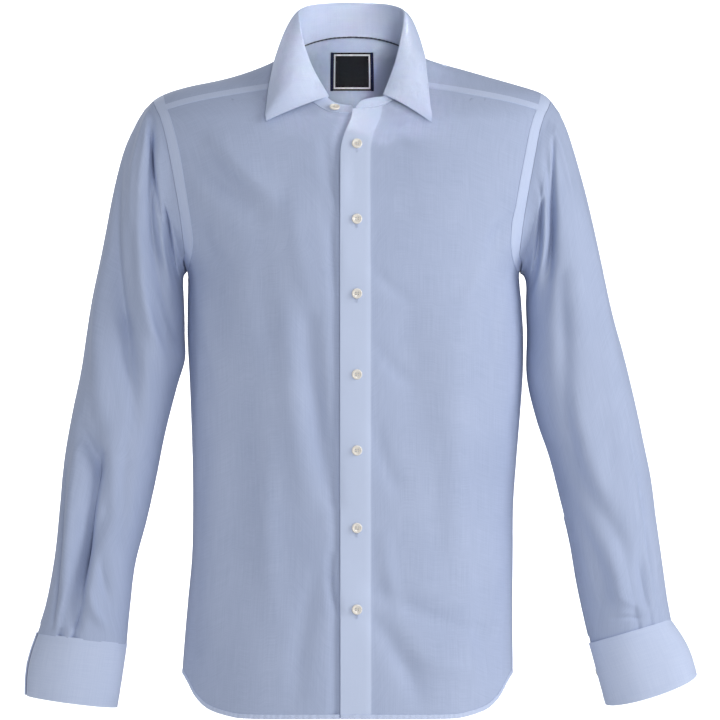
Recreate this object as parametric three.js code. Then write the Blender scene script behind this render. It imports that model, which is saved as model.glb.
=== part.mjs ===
// A long sleeve dress shirt that holds its worn, hollow form with nobody in it.
// Millimetres, +Z up. The front faces -Y, and the wearer's left side is at +X.
// The origin is at the base of the neck, between the two shoulders.
import * as THREE from "three";

// Driving dimensions of the garment.
const CLOTH = 1.2;
const INTERFACED = 2.0;
const COLLAR_CLOTH = 1.6;
const PLACKET_CLOTH = 1.0;
const LABEL_CLOTH = 0.6;
const SEAM_GAP = 0.35;
const LINING_GAP = 0.5;
const LAP_INSET = 3.0;
const PLACKET_WIDTH = 34;
const UNDER_LAP = 20;
const ARMPIT_Z = -228;
const SHOULDER_TIP_Z = -41;
const BODY_SQUARENESS = 2.3;
const BUTTON_DIAMETER = 11.4;
const BUTTON_THICKNESS = 2.4;
const BUTTON_X = 5.5;
const CENTRE_BACK_NECK_Z = 31;
const LABEL_WIDTH = 48;
const LABEL_HEIGHT = 41.5;

const CLOTH_BLUE = 0xa9b8d6;
const BAND_BLUE = 0xb9c6e2;
const PEARL = 0xece8e2;
const NAVY = 0x1b2a44;
const LABEL_DARK = 0x15171f;

const QUARTER = Math.PI / 2;
const shirt = new THREE.Group();

function finish(name, geometry, colour, roughness = 0.8) {
  const material = new THREE.MeshStandardMaterial({ color: colour, roughness, metalness: 0 });
  const mesh = new THREE.Mesh(geometry, material);
  mesh.name = name;
  shirt.add(mesh);
  return mesh;
}

// Reads one column of a table of rows at a key, along a smooth curve through them.
function readTable(rows, keyName, column, key) {
  const falling = rows[0][keyName] > rows[rows.length - 1][keyName];
  const sorted = falling ? [...rows].reverse() : rows;
  const last = sorted.length - 1;
  if (key <= sorted[0][keyName]) return sorted[0][column];
  if (key >= sorted[last][keyName]) return sorted[last][column];
  let i = 0;
  while (sorted[i + 1][keyName] < key) i += 1;
  const slopeAt = (k) => {
    const a = sorted[Math.max(0, k - 1)];
    const b = sorted[Math.min(last, k + 1)];
    return (b[column] - a[column]) / (b[keyName] - a[keyName]);
  };
  const span = sorted[i + 1][keyName] - sorted[i][keyName];
  const t = (key - sorted[i][keyName]) / span;
  const rise = 3 * t * t - 2 * t * t * t;
  const start = sorted[i][column] * (1 - rise) + sorted[i + 1][column] * rise;
  const bend = slopeAt(i) * (t - 2 * t * t + t * t * t) + slopeAt(i + 1) * (t * t * t - t * t);
  return start + bend * span;
}

function smoothStep(from, to, value) {
  const t = THREE.MathUtils.clamp((value - from) / (to - from), 0, 1);
  return t * t * (3 - 2 * t);
}

// The body from the neck to the hem: half widths on the wearer's left and right,
// and how far the front and the back stand from the side seams' plane.
const bodySections = [
  { z: 34, left: 65, right: 65, front: 18, back: 60 },
  { z: 22, left: 68, right: 68, front: 18, back: 64 },
  { z: 10, left: 74, right: 74, front: 20, back: 68 },
  { z: 3, left: 88, right: 85, front: 23, back: 71 },
  { z: -7, left: 123, right: 108, front: 29, back: 75 },
  { z: -17, left: 158, right: 140, front: 38, back: 79 },
  { z: -25, left: 186, right: 178, front: 47, back: 82 },
  { z: -32, left: 207, right: 202, front: 57, back: 85 },
  { z: -41, left: 218, right: 218, front: 69, back: 89 },
  { z: -50, left: 222, right: 222, front: 80, back: 93 },
  { z: -62, left: 224, right: 224, front: 90, back: 97 },
  { z: -100, left: 223, right: 223, front: 106, back: 107 },
  { z: -136, left: 217, right: 217, front: 118, back: 113 },
  { z: -170, left: 207, right: 207, front: 126, back: 116 },
  { z: -200, left: 196, right: 195, front: 129, back: 116 },
  { z: -228, left: 184, right: 181, front: 130, back: 114 },
  { z: -265, left: 185.5, right: 180, front: 129, back: 109 },
  { z: -300, left: 187.5, right: 180, front: 127, back: 104 },
  { z: -350, left: 186.5, right: 177.5, front: 122, back: 99 },
  { z: -434, left: 180, right: 174.5, front: 114, back: 96 },
  { z: -484, left: 176.5, right: 174, front: 111, back: 98 },
  { z: -540, left: 176, right: 175, front: 112, back: 104 },
  { z: -596, left: 175.5, right: 180, front: 115, back: 109 },
  { z: -672, left: 176, right: 186, front: 118, back: 113 },
  { z: -725, left: 176, right: 188, front: 119, back: 114 },
];

// Where the sleeve is set in: distance of the armhole seam from the centre line.
const armholeLine = [
  { z: -41, front: 218, back: 218 },
  { z: -50, front: 214.5, back: 208 },
  { z: -58, front: 210.5, back: 203 },
  { z: -76, front: 205, back: 196 },
  { z: -100, front: 200, back: 190 },
  { z: -136, front: 193.5, back: 184 },
  { z: -170, front: 188, back: 181 },
  { z: -200, front: 184, back: 180 },
  { z: -228, front: 181, back: 181 },
];

// The curved shirt-tail hem: height at each angle round from the centre front.
const hemLine = [
  { turn: 0, z: -717 },
  { turn: 36, z: -717 },
  { turn: 46, z: -713 },
  { turn: 56, z: -706 },
  { turn: 65, z: -694 },
  { turn: 73, z: -680 },
  { turn: 81, z: -672 },
  { turn: 90, z: -669 },
];

// The neck seam, from the centre front round each side to the ridge of the shoulder.
// The wearer's right front hangs a little lower, because the collar is not fastened.
const frontNeckLine = {
  left: [
    { x: 0, z: -50.5 },
    { x: 16, z: -50.5 },
    { x: 30, z: -48.5 },
    { x: 46, z: -41.5 },
    { x: 58, z: -34 },
    { x: 66, z: -25 },
    { x: 70, z: -12 },
    { x: 72.5, z: 0 },
    { x: 74, z: 10 },
  ],
  right: [
    { x: 0, z: -56 },
    { x: 15, z: -55.5 },
    { x: 28, z: -53 },
    { x: 43, z: -44 },
    { x: 57, z: -34.5 },
    { x: 66, z: -25 },
    { x: 70, z: -12 },
    { x: 72.5, z: 0 },
    { x: 74, z: 10 },
  ],
};
const YOKE_CORNER_ROW = 5;
const RIDGE_ROW = frontNeckLine.left.length - 1;

// The neck seam behind the ridge, round to the centre back.
const backNeckLine = [
  { turn: 108, z: 14.5 },
  { turn: 126, z: 20 },
  { turn: 144, z: 25.5 },
  { turn: 162, z: 29.5 },
  { turn: 180, z: CENTRE_BACK_NECK_Z },
];

// Straight runs of the largest folds in the fronts, as troughs and ridges in the front view.
const frontFolds = [
  { x0: -168, z0: -102, x1: -108, z1: -160, width: 17, depth: -7 },
  { x0: -150, z0: -92, x1: -92, z1: -140, width: 13, depth: 4 },
  { x0: 172, z0: -172, x1: 146, z1: -216, width: 9, depth: -4 },
  { x0: -48, z0: -285, x1: -21, z1: -480, width: 11, depth: -5 },
  { x0: -72, z0: -270, x1: -50, z1: -470, width: 16, depth: 3.5 },
  { x0: 28, z0: -612, x1: 74, z1: -694, width: 13, depth: -4.5 },
  { x0: 28, z0: -578, x1: 150, z1: -628, width: 14, depth: -4.5 },
  { x0: 60, z0: -640, x1: 128, z1: -664, width: 15, depth: 3.5 },
  { x0: 60, z0: -230, x1: 78, z1: -420, width: 24, depth: -3 },
  { x0: 118, z0: -300, x1: 112, z1: -520, width: 22, depth: 3.5 },
  { x0: -122, z0: -330, x1: -118, z1: -560, width: 22, depth: -3.5 },
  { x0: -150, z0: -430, x1: -156, z1: -640, width: 16, depth: 4 },
];

// Soft upright folds of the back, which falls free below the yoke.
const backFolds = [
  { x0: -112, z0: -170, x1: -84, z1: -470, width: 20, depth: -6 },
  { x0: -66, z0: -240, x1: -58, z1: -660, width: 18, depth: 4 },
  { x0: -14, z0: -330, x1: -22, z1: -700, width: 20, depth: -5 },
  { x0: 44, z0: -260, x1: 34, z1: -640, width: 20, depth: 5 },
  { x0: 104, z0: -160, x1: 82, z1: -520, width: 19, depth: -6 },
  { x0: 130, z0: -420, x1: 118, z1: -690, width: 18, depth: 5 },
  { x0: -128, z0: -460, x1: -112, z1: -690, width: 18, depth: -5 },
];

// How far one table of folds moves the cloth at a point of the flat front or back view.
function foldShift(folds, x, z) {
  let shift = 0;
  for (const fold of folds) {
    const dx = fold.x1 - fold.x0;
    const dz = fold.z1 - fold.z0;
    const along = ((x - fold.x0) * dx + (z - fold.z0) * dz) / (dx * dx + dz * dz);
    const held = THREE.MathUtils.clamp(along, 0, 1);
    const away = Math.hypot(x - fold.x0 - held * dx, z - fold.z0 - held * dz);
    const strength = 0.45 + 0.55 * Math.sin(Math.PI * held);
    shift += fold.depth * strength * Math.exp(-((away / fold.width) ** 2));
  }
  return shift;
}

// A point on the body: turn is in radians, 0 at the centre front, +-PI at the centre back,
// positive on the wearer's left. Outward moves it away from the cloth's own surface.
function bodyPoint(turn, z, outward = 0) {
  const side = turn < 0 ? "right" : "left";
  const angle = Math.abs(turn);
  const atFront = angle <= QUARTER;
  const half = readTable(bodySections, "z", side, z);
  const deep = readTable(bodySections, "z", atFront ? "front" : "back", z);
  const power = 2 / BODY_SQUARENESS;
  const across = Math.sin(angle) ** power;
  const forward = Math.abs(Math.cos(angle)) ** power * (atFront ? -1 : 1);
  const x = Math.sign(turn) * half * across;
  const y = deep * forward;
  const normal = new THREE.Vector3(x / (half * half), y / (deep * deep), 0).normalize();
  const calm = smoothStep(0.02, 0.5, Math.abs(forward));
  const folds = foldShift(atFront ? frontFolds : backFolds, x, z) * calm;
  return new THREE.Vector3(x, y, z).addScaledVector(normal, folds + outward);
}

// The angle at which the body's section passes a distance from the centre line.
function turnAt(x, z, atFront = true) {
  const half = readTable(bodySections, "z", x < 0 ? "right" : "left", z);
  const share = Math.min(1, Math.abs(x) / half);
  const angle = Math.asin(share ** (BODY_SQUARENESS / 2));
  const turned = atFront ? angle : Math.PI - angle;
  return x < 0 ? -turned : turned;
}

// The edge of a body panel at the side: the armhole above the armpit, else the side seam.
function sideTurn(z, side, atFront) {
  if (z <= ARMPIT_Z) return QUARTER;
  const x = side * readTable(armholeLine, "z", atFront ? "front" : "back", z);
  return Math.abs(turnAt(x, z, atFront));
}

// Neck seam points from the centre front to the centre back of one side, as turn and height.
function neckSeam(side) {
  const front = frontNeckLine[side > 0 ? "left" : "right"].map((row) => ({
    turn: Math.abs(turnAt(side * Math.max(row.x, 0.01), row.z)),
    z: row.z,
  }));
  front[RIDGE_ROW].turn = QUARTER;
  const back = backNeckLine.map((row) => ({
    turn: THREE.MathUtils.degToRad(row.turn),
    z: row.z,
  }));
  return [...front, ...back];
}

// The directions square to the cloth at each point of a grid of points.
function normalsOf(grid, wrapped = false) {
  const rows = grid.length;
  const columns = grid[0].length;
  return grid.map((row, i) => row.map((point, j) => {
    const up = grid[Math.max(0, i - 1)][j];
    const down = grid[Math.min(rows - 1, i + 1)][j];
    const before = wrapped ? grid[i][(j + columns - 1) % columns] : grid[i][Math.max(0, j - 1)];
    const after = wrapped ? grid[i][(j + 1) % columns] : grid[i][Math.min(columns - 1, j + 1)];
    return down.clone().sub(up).cross(after.clone().sub(before)).normalize();
  }));
}

// The same grid moved square to the cloth, away from its inside or towards it.
function movedOut(grid, distance, wrapped = false) {
  const normals = normalsOf(grid, wrapped);
  return grid.map((row, i) => row.map((point, j) => (
    point.clone().addScaledVector(normals[i][j], distance)
  )));
}

// Closes a grid of middle points into a wall: two skins and the edges between them.
// Rows run one way and columns the other; a wrapped grid is a tube.
function wall(grid, thickness, wrapped = false) {
  const rows = grid.length;
  const columns = grid[0].length;
  const thickAt = typeof thickness === "function" ? thickness : () => thickness;
  const positions = [];
  const offsets = normalsOf(grid, wrapped).map((row, i) => row.map((normal, j) => (
    normal.multiplyScalar(thickAt(i, j) / 2)
  )));
  for (const sign of [1, -1]) {
    grid.forEach((row, i) => row.forEach((point, j) => {
      const moved = point.clone().addScaledVector(offsets[i][j], sign);
      positions.push(moved.x, moved.y, moved.z);
    }));
  }
  const at = (skin, i, j) => skin * rows * columns + i * columns + (j % columns);
  const faces = [];
  const quad = (a, b, c, d) => faces.push(a, b, c, a, c, d);
  const spans = wrapped ? columns : columns - 1;
  for (let i = 0; i < rows - 1; i += 1) {
    for (let j = 0; j < spans; j += 1) {
      quad(at(0, i, j), at(0, i + 1, j), at(0, i + 1, j + 1), at(0, i, j + 1));
      quad(at(1, i, j), at(1, i, j + 1), at(1, i + 1, j + 1), at(1, i + 1, j));
    }
  }
  for (let j = 0; j < spans; j += 1) {
    quad(at(0, 0, j), at(0, 0, j + 1), at(1, 0, j + 1), at(1, 0, j));
    quad(at(0, rows - 1, j + 1), at(0, rows - 1, j), at(1, rows - 1, j), at(1, rows - 1, j + 1));
  }
  if (!wrapped) {
    for (let i = 0; i < rows - 1; i += 1) {
      quad(at(0, i + 1, 0), at(0, i, 0), at(1, i, 0), at(1, i + 1, 0));
      const end = columns - 1;
      quad(at(0, i, end), at(0, i + 1, end), at(1, i + 1, end), at(1, i, end));
    }
  }
  return facedOut(positions, faces);
}

// Turns the faces round if they point into the solid.
function facedOut(positions, faces) {
  let volume = 0;
  const corner = (k) => new THREE.Vector3().fromArray(positions, 3 * k);
  for (let f = 0; f < faces.length; f += 3) {
    const a = corner(faces[f]);
    volume += a.dot(corner(faces[f + 1]).cross(corner(faces[f + 2])));
  }
  if (volume < 0) {
    for (let f = 0; f < faces.length; f += 3) {
      [faces[f + 1], faces[f + 2]] = [faces[f + 2], faces[f + 1]];
    }
  }
  const geometry = new THREE.BufferGeometry();
  geometry.setAttribute("position", new THREE.Float32BufferAttribute(positions, 3));
  geometry.setIndex(faces);
  return geometry;
}

function range(count) {
  return Array.from({ length: count + 1 }, (_, k) => k / count);
}

// The front's upper edge at one turn: the neck seam, then the yoke's front seam.
const YOKE_SEAM_ARMHOLE_Z = -55;
function frontTopZ(turn, side) {
  const seam = neckSeam(side);
  const corner = seam[YOKE_CORNER_ROW];
  const armholeTurn = sideTurn(YOKE_SEAM_ARMHOLE_Z, side, true);
  if (turn <= corner.turn) {
    return readTable(seam.slice(0, YOKE_CORNER_ROW + 1), "turn", "z", Math.max(turn, 0));
  }
  const share = (turn - corner.turn) / (armholeTurn - corner.turn);
  return corner.z + (YOKE_SEAM_ARMHOLE_Z - corner.z) * Math.min(1, share);
}

// The overlapping front edge: it swings back a little where the collar lies open.
const overEdge = [
  { z: -50, x: 1 },
  { z: -62, x: -1 },
  { z: -74, x: -6.5 },
  { z: -86, x: -10.5 },
  { z: -100, x: -12.5 },
  { z: -720, x: -12.5 },
];

// Points down one column of a front, worked out from the neck or yoke seam to the hem.
const SIDE_SEAM_TURN = QUARTER - 0.0012;
function frontGrid(side, edgeAt, columnShares, rowShares, moveAt) {
  const turnFor = (share, z) => {
    const inner = side * turnAt(edgeAt(z), z);
    const outer = Math.min(sideTurn(z, side, true), SIDE_SEAM_TURN);
    return inner + (outer - inner) * share;
  };
  return rowShares.map((down) => columnShares.map((share) => {
    let top = -50;
    for (let pass = 0; pass < 24; pass += 1) {
      const found = frontTopZ(Math.max(0, turnFor(share, top)), side) - SEAM_GAP;
      top += (found - top) / 2;
    }
    const bottomTurn = THREE.MathUtils.radToDeg(Math.abs(turnFor(share, -717)));
    const bottom = readTable(hemLine, "turn", "z", bottomTurn);
    const z = top + (bottom - top) * down;
    const turn = side * turnFor(share, z);
    const flat = bodyPoint(turn, z);
    return bodyPoint(turn, z, moveAt(flat.x, z));
  }));
}

const bodyRows = range(24).map((t) => t ** 1.12);

// The wearer's left front laps over: its edge is folded back, so that strip is thicker.
const overColumns = [0, 0.055, 0.11, 0.165, 0.22, 0.29, 0.36, 0.44, 0.52, 0.6, 0.68, 0.76, 0.84, 0.92, 1];
const overEdgeAt = (z) => readTable(overEdge, "z", "x", z);
const FOLD_STEP = 0.5;
const foldedEdge = (x, z) => {
  const fade = smoothStep(PLACKET_WIDTH - 16, PLACKET_WIDTH - 8, x - overEdgeAt(z));
  return FOLD_STEP * (1 - fade);
};
const frontLeft = frontGrid(1, overEdgeAt, overColumns, bodyRows, foldedEdge);
const overThickness = (i, j) => CLOTH + 2 * foldedEdge(frontLeft[i][j].x, frontLeft[i][j].z);
finish("front_left", wall(frontLeft, overThickness), CLOTH_BLUE);

// The wearer's right front runs on under the other one as far as the buttons need.
const underColumns = [0, 0.05, 0.1, 0.15, 0.2, 0.25, 0.33, 0.41, 0.49, 0.57, 0.65, 0.73, 0.81, 0.89,
  0.95, 1];
const LAP_RAMP = { from: -16, to: -3 };
const underLap = (x, z) => (
  -LAP_INSET * smoothStep(LAP_RAMP.from, LAP_RAMP.to, x - overEdgeAt(z))
);
const frontRight = frontGrid(-1, () => UNDER_LAP, underColumns, bodyRows, underLap);
finish("front_right", wall(frontRight, CLOTH), CLOTH_BLUE);

// The back: one panel from the yoke's back seam to the hem, between the armholes.
const BACK_SEAM_CENTRE_Z = -74;
const BACK_SEAM_ARMHOLE_Z = -92;
const backSeamZ = (share) => BACK_SEAM_CENTRE_Z + (BACK_SEAM_ARMHOLE_Z - BACK_SEAM_CENTRE_Z) * share ** 2;
const backColumns = range(22).map((t) => 2 * t - 1);
const backRows = range(19).map((t) => t ** 1.1);
const backGrid = backRows.map((down) => backColumns.map((place) => {
  const share = Math.abs(place);
  const side = place < 0 ? -1 : 1;
  const top = backSeamZ(share) - SEAM_GAP;
  const bottomTurn = Math.min(90, 90 * share);
  const bottom = readTable(hemLine, "turn", "z", bottomTurn);
  const z = top + (bottom - top) * down;
  const reach = Math.min(Math.PI - sideTurn(z, side, false), SIDE_SEAM_TURN);
  return bodyPoint(side * (Math.PI - reach * share), z);
}));
finish("back", wall(backGrid, CLOTH), CLOTH_BLUE);

// The yoke lies over both shoulders. Lines run out from the neck seam to the armhole
// and the back seam; the first and last of them are the front seams.
const YOKE_NECK_LINES = 17;
function yokeGrid() {
  const lines = [];
  for (const side of [-1, 1]) {
    const seam = neckSeam(side).slice(YOKE_CORNER_ROW);
    const spread = range(YOKE_NECK_LINES);
    const half = spread.map((t) => {
      const place = t * (seam.length - 1);
      const k = Math.min(seam.length - 2, Math.floor(place));
      const mix = place - k;
      const neck = {
        turn: seam[k].turn + (seam[k + 1].turn - seam[k].turn) * mix,
        z: seam[k].z + (seam[k + 1].z - seam[k].z) * mix,
      };
      const outer = yokeOuter(t, side);
      return [0, 0.1, 0.22, 0.36, 0.5, 0.66, 0.82, 1].map((out) => {
        const turn = neck.turn + (outer.turn - neck.turn) * out;
        const z = neck.z + (outer.z - neck.z) * out;
        return bodyPoint(side * Math.min(turn, Math.PI), z);
      });
    });
    lines.push(...(side < 0 ? half : half.reverse().slice(1)));
  }
  return lines;
}

// The yoke's outer edge: round the armhole, then along the back seam to the centre.
const YOKE_ARMHOLE_SHARE = 10 / YOKE_NECK_LINES;
function yokeOuter(t, side) {
  if (t <= YOKE_ARMHOLE_SHARE) {
    const round = (t / YOKE_ARMHOLE_SHARE) * 2;
    const atFront = round < 1;
    const drop = Math.abs(round - 1) ** 1.8;
    const foot = atFront ? YOKE_SEAM_ARMHOLE_Z : BACK_SEAM_ARMHOLE_Z;
    const z = SHOULDER_TIP_Z + (foot - SHOULDER_TIP_Z) * drop;
    return { turn: sideTurn(z, side, atFront), z };
  }
  const share = 1 - (t - YOKE_ARMHOLE_SHARE) / (1 - YOKE_ARMHOLE_SHARE);
  const z = backSeamZ(share);
  return { turn: Math.PI - (Math.PI - sideTurn(z, side, false)) * share, z };
}

const yoke = yokeGrid();
const yokeLining = movedOut(yoke, -CLOTH - LINING_GAP);
finish("yoke", wall(yoke, CLOTH), CLOTH_BLUE);
finish("yoke_inner", wall(yokeLining, CLOTH), BAND_BLUE);

// The armhole seam as a ring: 0 at the shoulder tip, then down the front to the armpit.
function armholePoint(side, round) {
  const drop = (1 - Math.cos(round)) / 2;
  const z = SHOULDER_TIP_Z + (ARMPIT_Z - SHOULDER_TIP_Z) * drop;
  const turn = sideTurn(z, side, Math.sin(round) >= 0);
  return bodyPoint(side * turn, z);
}

// Rings down each sleeve: its outer and inner edge in the front view, half its depth,
// and how far it hangs forward.
const sleeveRings = {
  left: [
    { outX: 228, outZ: -54, inX: 185.5, inZ: -230.5, deep: 62, forward: 0 },
    { outX: 238, outZ: -78, inX: 188.5, inZ: -232.5, deep: 62, forward: 0 },
    { outX: 251, outZ: -122, inX: 191, inZ: -238, deep: 62, forward: 0 },
    { outX: 262, outZ: -165, inX: 192, inZ: -248, deep: 62, forward: 0 },
    { outX: 274, outZ: -219, inX: 191.5, inZ: -265, deep: 61.5, forward: 1 },
    { outX: 286, outZ: -275, inX: 192.5, inZ: -298, deep: 61, forward: 2 },
    { outX: 299, outZ: -323, inX: 192.5, inZ: -345, deep: 60, forward: 4 },
    { outX: 310, outZ: -369, inX: 203, inZ: -391, deep: 58, forward: 6 },
    { outX: 319, outZ: -410, inX: 217, inZ: -432, deep: 56, forward: 8 },
    { outX: 328, outZ: -455, inX: 229, inZ: -479, deep: 54, forward: 10 },
    { outX: 334, outZ: -501, inX: 240, inZ: -525, deep: 51, forward: 12 },
    { outX: 340, outZ: -545, inX: 247.5, inZ: -569, deep: 48, forward: 14 },
    { outX: 346, outZ: -587, inX: 256, inZ: -609, deep: 44, forward: 15 },
    { outX: 350.5, outZ: -611, inX: 262.5, inZ: -637, deep: 37, forward: 16 },
  ],
  right: [
    { outX: 228, outZ: -51, inX: 183.5, inZ: -230.5, deep: 62, forward: 0 },
    { outX: 237, outZ: -66, inX: 185, inZ: -232.5, deep: 62, forward: 0 },
    { outX: 251, outZ: -98, inX: 186, inZ: -239, deep: 62, forward: 0 },
    { outX: 263, outZ: -146, inX: 185.5, inZ: -252, deep: 62, forward: 0 },
    { outX: 275, outZ: -209, inX: 184.5, inZ: -275, deep: 61.5, forward: 1 },
    { outX: 285.5, outZ: -260, inX: 184.2, inZ: -300, deep: 61, forward: 2 },
    { outX: 292, outZ: -301, inX: 184, inZ: -325, deep: 60, forward: 4 },
    { outX: 298, outZ: -340, inX: 193, inZ: -356, deep: 58, forward: 6 },
    { outX: 308, outZ: -389, inX: 206, inZ: -407, deep: 56, forward: 8 },
    { outX: 315.5, outZ: -434, inX: 215.5, inZ: -455, deep: 54, forward: 10 },
    { outX: 320, outZ: -485, inX: 226, inZ: -502, deep: 51, forward: 12 },
    { outX: 325, outZ: -540, inX: 238.5, inZ: -550, deep: 48, forward: 14 },
    { outX: 334, outZ: -590, inX: 244.5, inZ: -600, deep: 44, forward: 15 },
    { outX: 345, outZ: -626, inX: 248, inZ: -638, deep: 37, forward: 16 },
  ],
};

// Folds of the sleeves. Along counts rings from the armhole; round is in degrees,
// 0 on the outer edge, 90 at the front, 180 on the inner edge and 270 behind.
const sleeveFolds = {
  left: [
    { along0: 0.6, round0: 66, along1: 5.4, round1: 128, width: 12, depth: -6 },
    { along0: 1.5, round0: 96, along1: 4.6, round1: 158, width: 11, depth: -5.5 },
    { along0: 1.2, round0: 80, along1: 4.6, round1: 142, width: 10, depth: 3 },
    { along0: 5.5, round0: 66, along1: 9.6, round1: 84, width: 17, depth: -4.5 },
    { along0: 6.5, round0: 110, along1: 11.2, round1: 96, width: 15, depth: 4 },
    { along0: 9.6, round0: 118, along1: 12, round1: 72, width: 13, depth: -5 },
    { along0: 11.4, round0: 50, along1: 13, round1: 66, width: 10, depth: -4 },
    { along0: 1.2, round0: 290, along1: 5.2, round1: 226, width: 14, depth: -6 },
    { along0: 5.4, round0: 262, along1: 9.8, round1: 282, width: 17, depth: 4.5 },
    { along0: 8.2, round0: 238, along1: 12.4, round1: 264, width: 14, depth: -5 },
  ],
  right: [
    { along0: 0.4, round0: 46, along1: 4.8, round1: 116, width: 12, depth: -6.5 },
    { along0: 0.7, round0: 30, along1: 4.2, round1: 78, width: 12, depth: 4 },
    { along0: 1.6, round0: 106, along1: 4.4, round1: 166, width: 11, depth: -6 },
    { along0: 4.6, round0: 62, along1: 8.6, round1: 86, width: 15, depth: -5 },
    { along0: 4.4, round0: 92, along1: 8.2, round1: 112, width: 14, depth: 4 },
    { along0: 8.8, round0: 52, along1: 11, round1: 92, width: 13, depth: -6 },
    { along0: 11, round0: 92, along1: 12.8, round1: 56, width: 12, depth: -5.5 },
    { along0: 1.2, round0: 286, along1: 5.2, round1: 232, width: 14, depth: -6 },
    { along0: 4.8, round0: 266, along1: 9.2, round1: 252, width: 16, depth: 4.5 },
    { along0: 7.6, round0: 296, along1: 12.2, round1: 264, width: 14, depth: -5 },
  ],
};

// How far the folds of a sleeve move its cloth, measured on a grid of 45 mm a ring.
function sleeveFoldShift(folds, along, round, girth) {
  const RING_SPACING = 45;
  const degrees = THREE.MathUtils.radToDeg(round);
  let shift = 0;
  for (const fold of folds) {
    const dx = (fold.along1 - fold.along0) * RING_SPACING;
    const dy = ((fold.round1 - fold.round0) / 360) * girth;
    const px = (along - fold.along0) * RING_SPACING;
    const py = ((degrees - fold.round0) / 360) * girth;
    const held = THREE.MathUtils.clamp((px * dx + py * dy) / (dx * dx + dy * dy), 0, 1);
    const away = Math.hypot(px - held * dx, py - held * dy);
    const strength = 0.4 + 0.6 * Math.sin(Math.PI * held);
    shift += fold.depth * strength * Math.exp(-((away / fold.width) ** 2));
  }
  return shift * smoothStep(0, 1, along);
}

// Two small pleats take up the sleeve's width where it meets the cuff.
const CUFF_PLEATS = [58, 78];
const PLEAT_DEPTH = 3;
const PLEAT_HALF_WIDTH = 5;
const PLEAT_RINGS = { from: 11.6, to: 13 };
function pleatShift(along, round) {
  const nearCuff = smoothStep(PLEAT_RINGS.from, PLEAT_RINGS.to, along);
  const degrees = THREE.MathUtils.radToDeg(round);
  let shift = 0;
  for (const pleat of CUFF_PLEATS) {
    shift -= PLEAT_DEPTH * Math.exp(-(((degrees - pleat) / PLEAT_HALF_WIDTH) ** 2));
  }
  return shift * nearCuff;
}

// A point of a sleeve: along counts rings down from the armhole, which is ring 0.
// Its girth is a little more than pi times the mean of its half width and half depth.
const GIRTH_FACTOR = 3.3;
function sleevePoint(side, along, round, outward = 0) {
  const name = side > 0 ? "left" : "right";
  const rings = sleeveRings[name].map((ring, k) => ({ ...ring, step: k + 1 }));
  const ring = (column) => readTable(rings, "step", column, Math.max(1, along));
  const out = new THREE.Vector3(side * ring("outX"), 0, ring("outZ"));
  const inner = new THREE.Vector3(side * ring("inX"), 0, ring("inZ"));
  const middle = out.clone().add(inner).multiplyScalar(0.5);
  const across = out.clone().sub(inner).multiplyScalar(0.5);
  const reach = across.length();
  const deep = ring("deep");
  const toFront = new THREE.Vector3(0, -1, 0);
  const point = middle.addScaledVector(across, Math.cos(round));
  point.addScaledVector(toFront, deep * Math.sin(round) + ring("forward"));
  const normal = across.clone().divideScalar(reach * reach).multiplyScalar(Math.cos(round));
  normal.addScaledVector(toFront, Math.sin(round) / deep).normalize();
  const girth = GIRTH_FACTOR * (reach + deep);
  const calm = 1 - smoothStep(-0.2, -0.9, Math.cos(round)) * 0.8;
  const folds = sleeveFoldShift(sleeveFolds[name], along, round, girth) * calm;
  point.addScaledVector(normal, folds + pleatShift(along, round) + outward);
  if (along >= 1) return point;
  const seam = armholePoint(side, round);
  seam.x += side * (SEAM_GAP + CLOTH);
  return seam.lerp(point, along);
}

const SLEEVE_AROUND = 22;
const sleeveSteps = [0, 0.5, 1, 1.7, 2.4, 3.1, 3.8, 4.5, 5.2, 6, 6.8, 7.6, 8.4, 9.2, 10, 10.8, 11.6, 12.4,
  13.1, 13.6, 14];
const around = range(SLEEVE_AROUND).slice(0, -1).map((t) => 2 * Math.PI * t);
for (const [name, side] of [["left", 1], ["right", -1]]) {
  const grid = sleeveSteps.map((along) => around.map((round) => sleevePoint(side, along, round)));
  finish(`sleeve_${name}`, wall(grid, CLOTH, true), CLOTH_BLUE);
}

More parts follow.
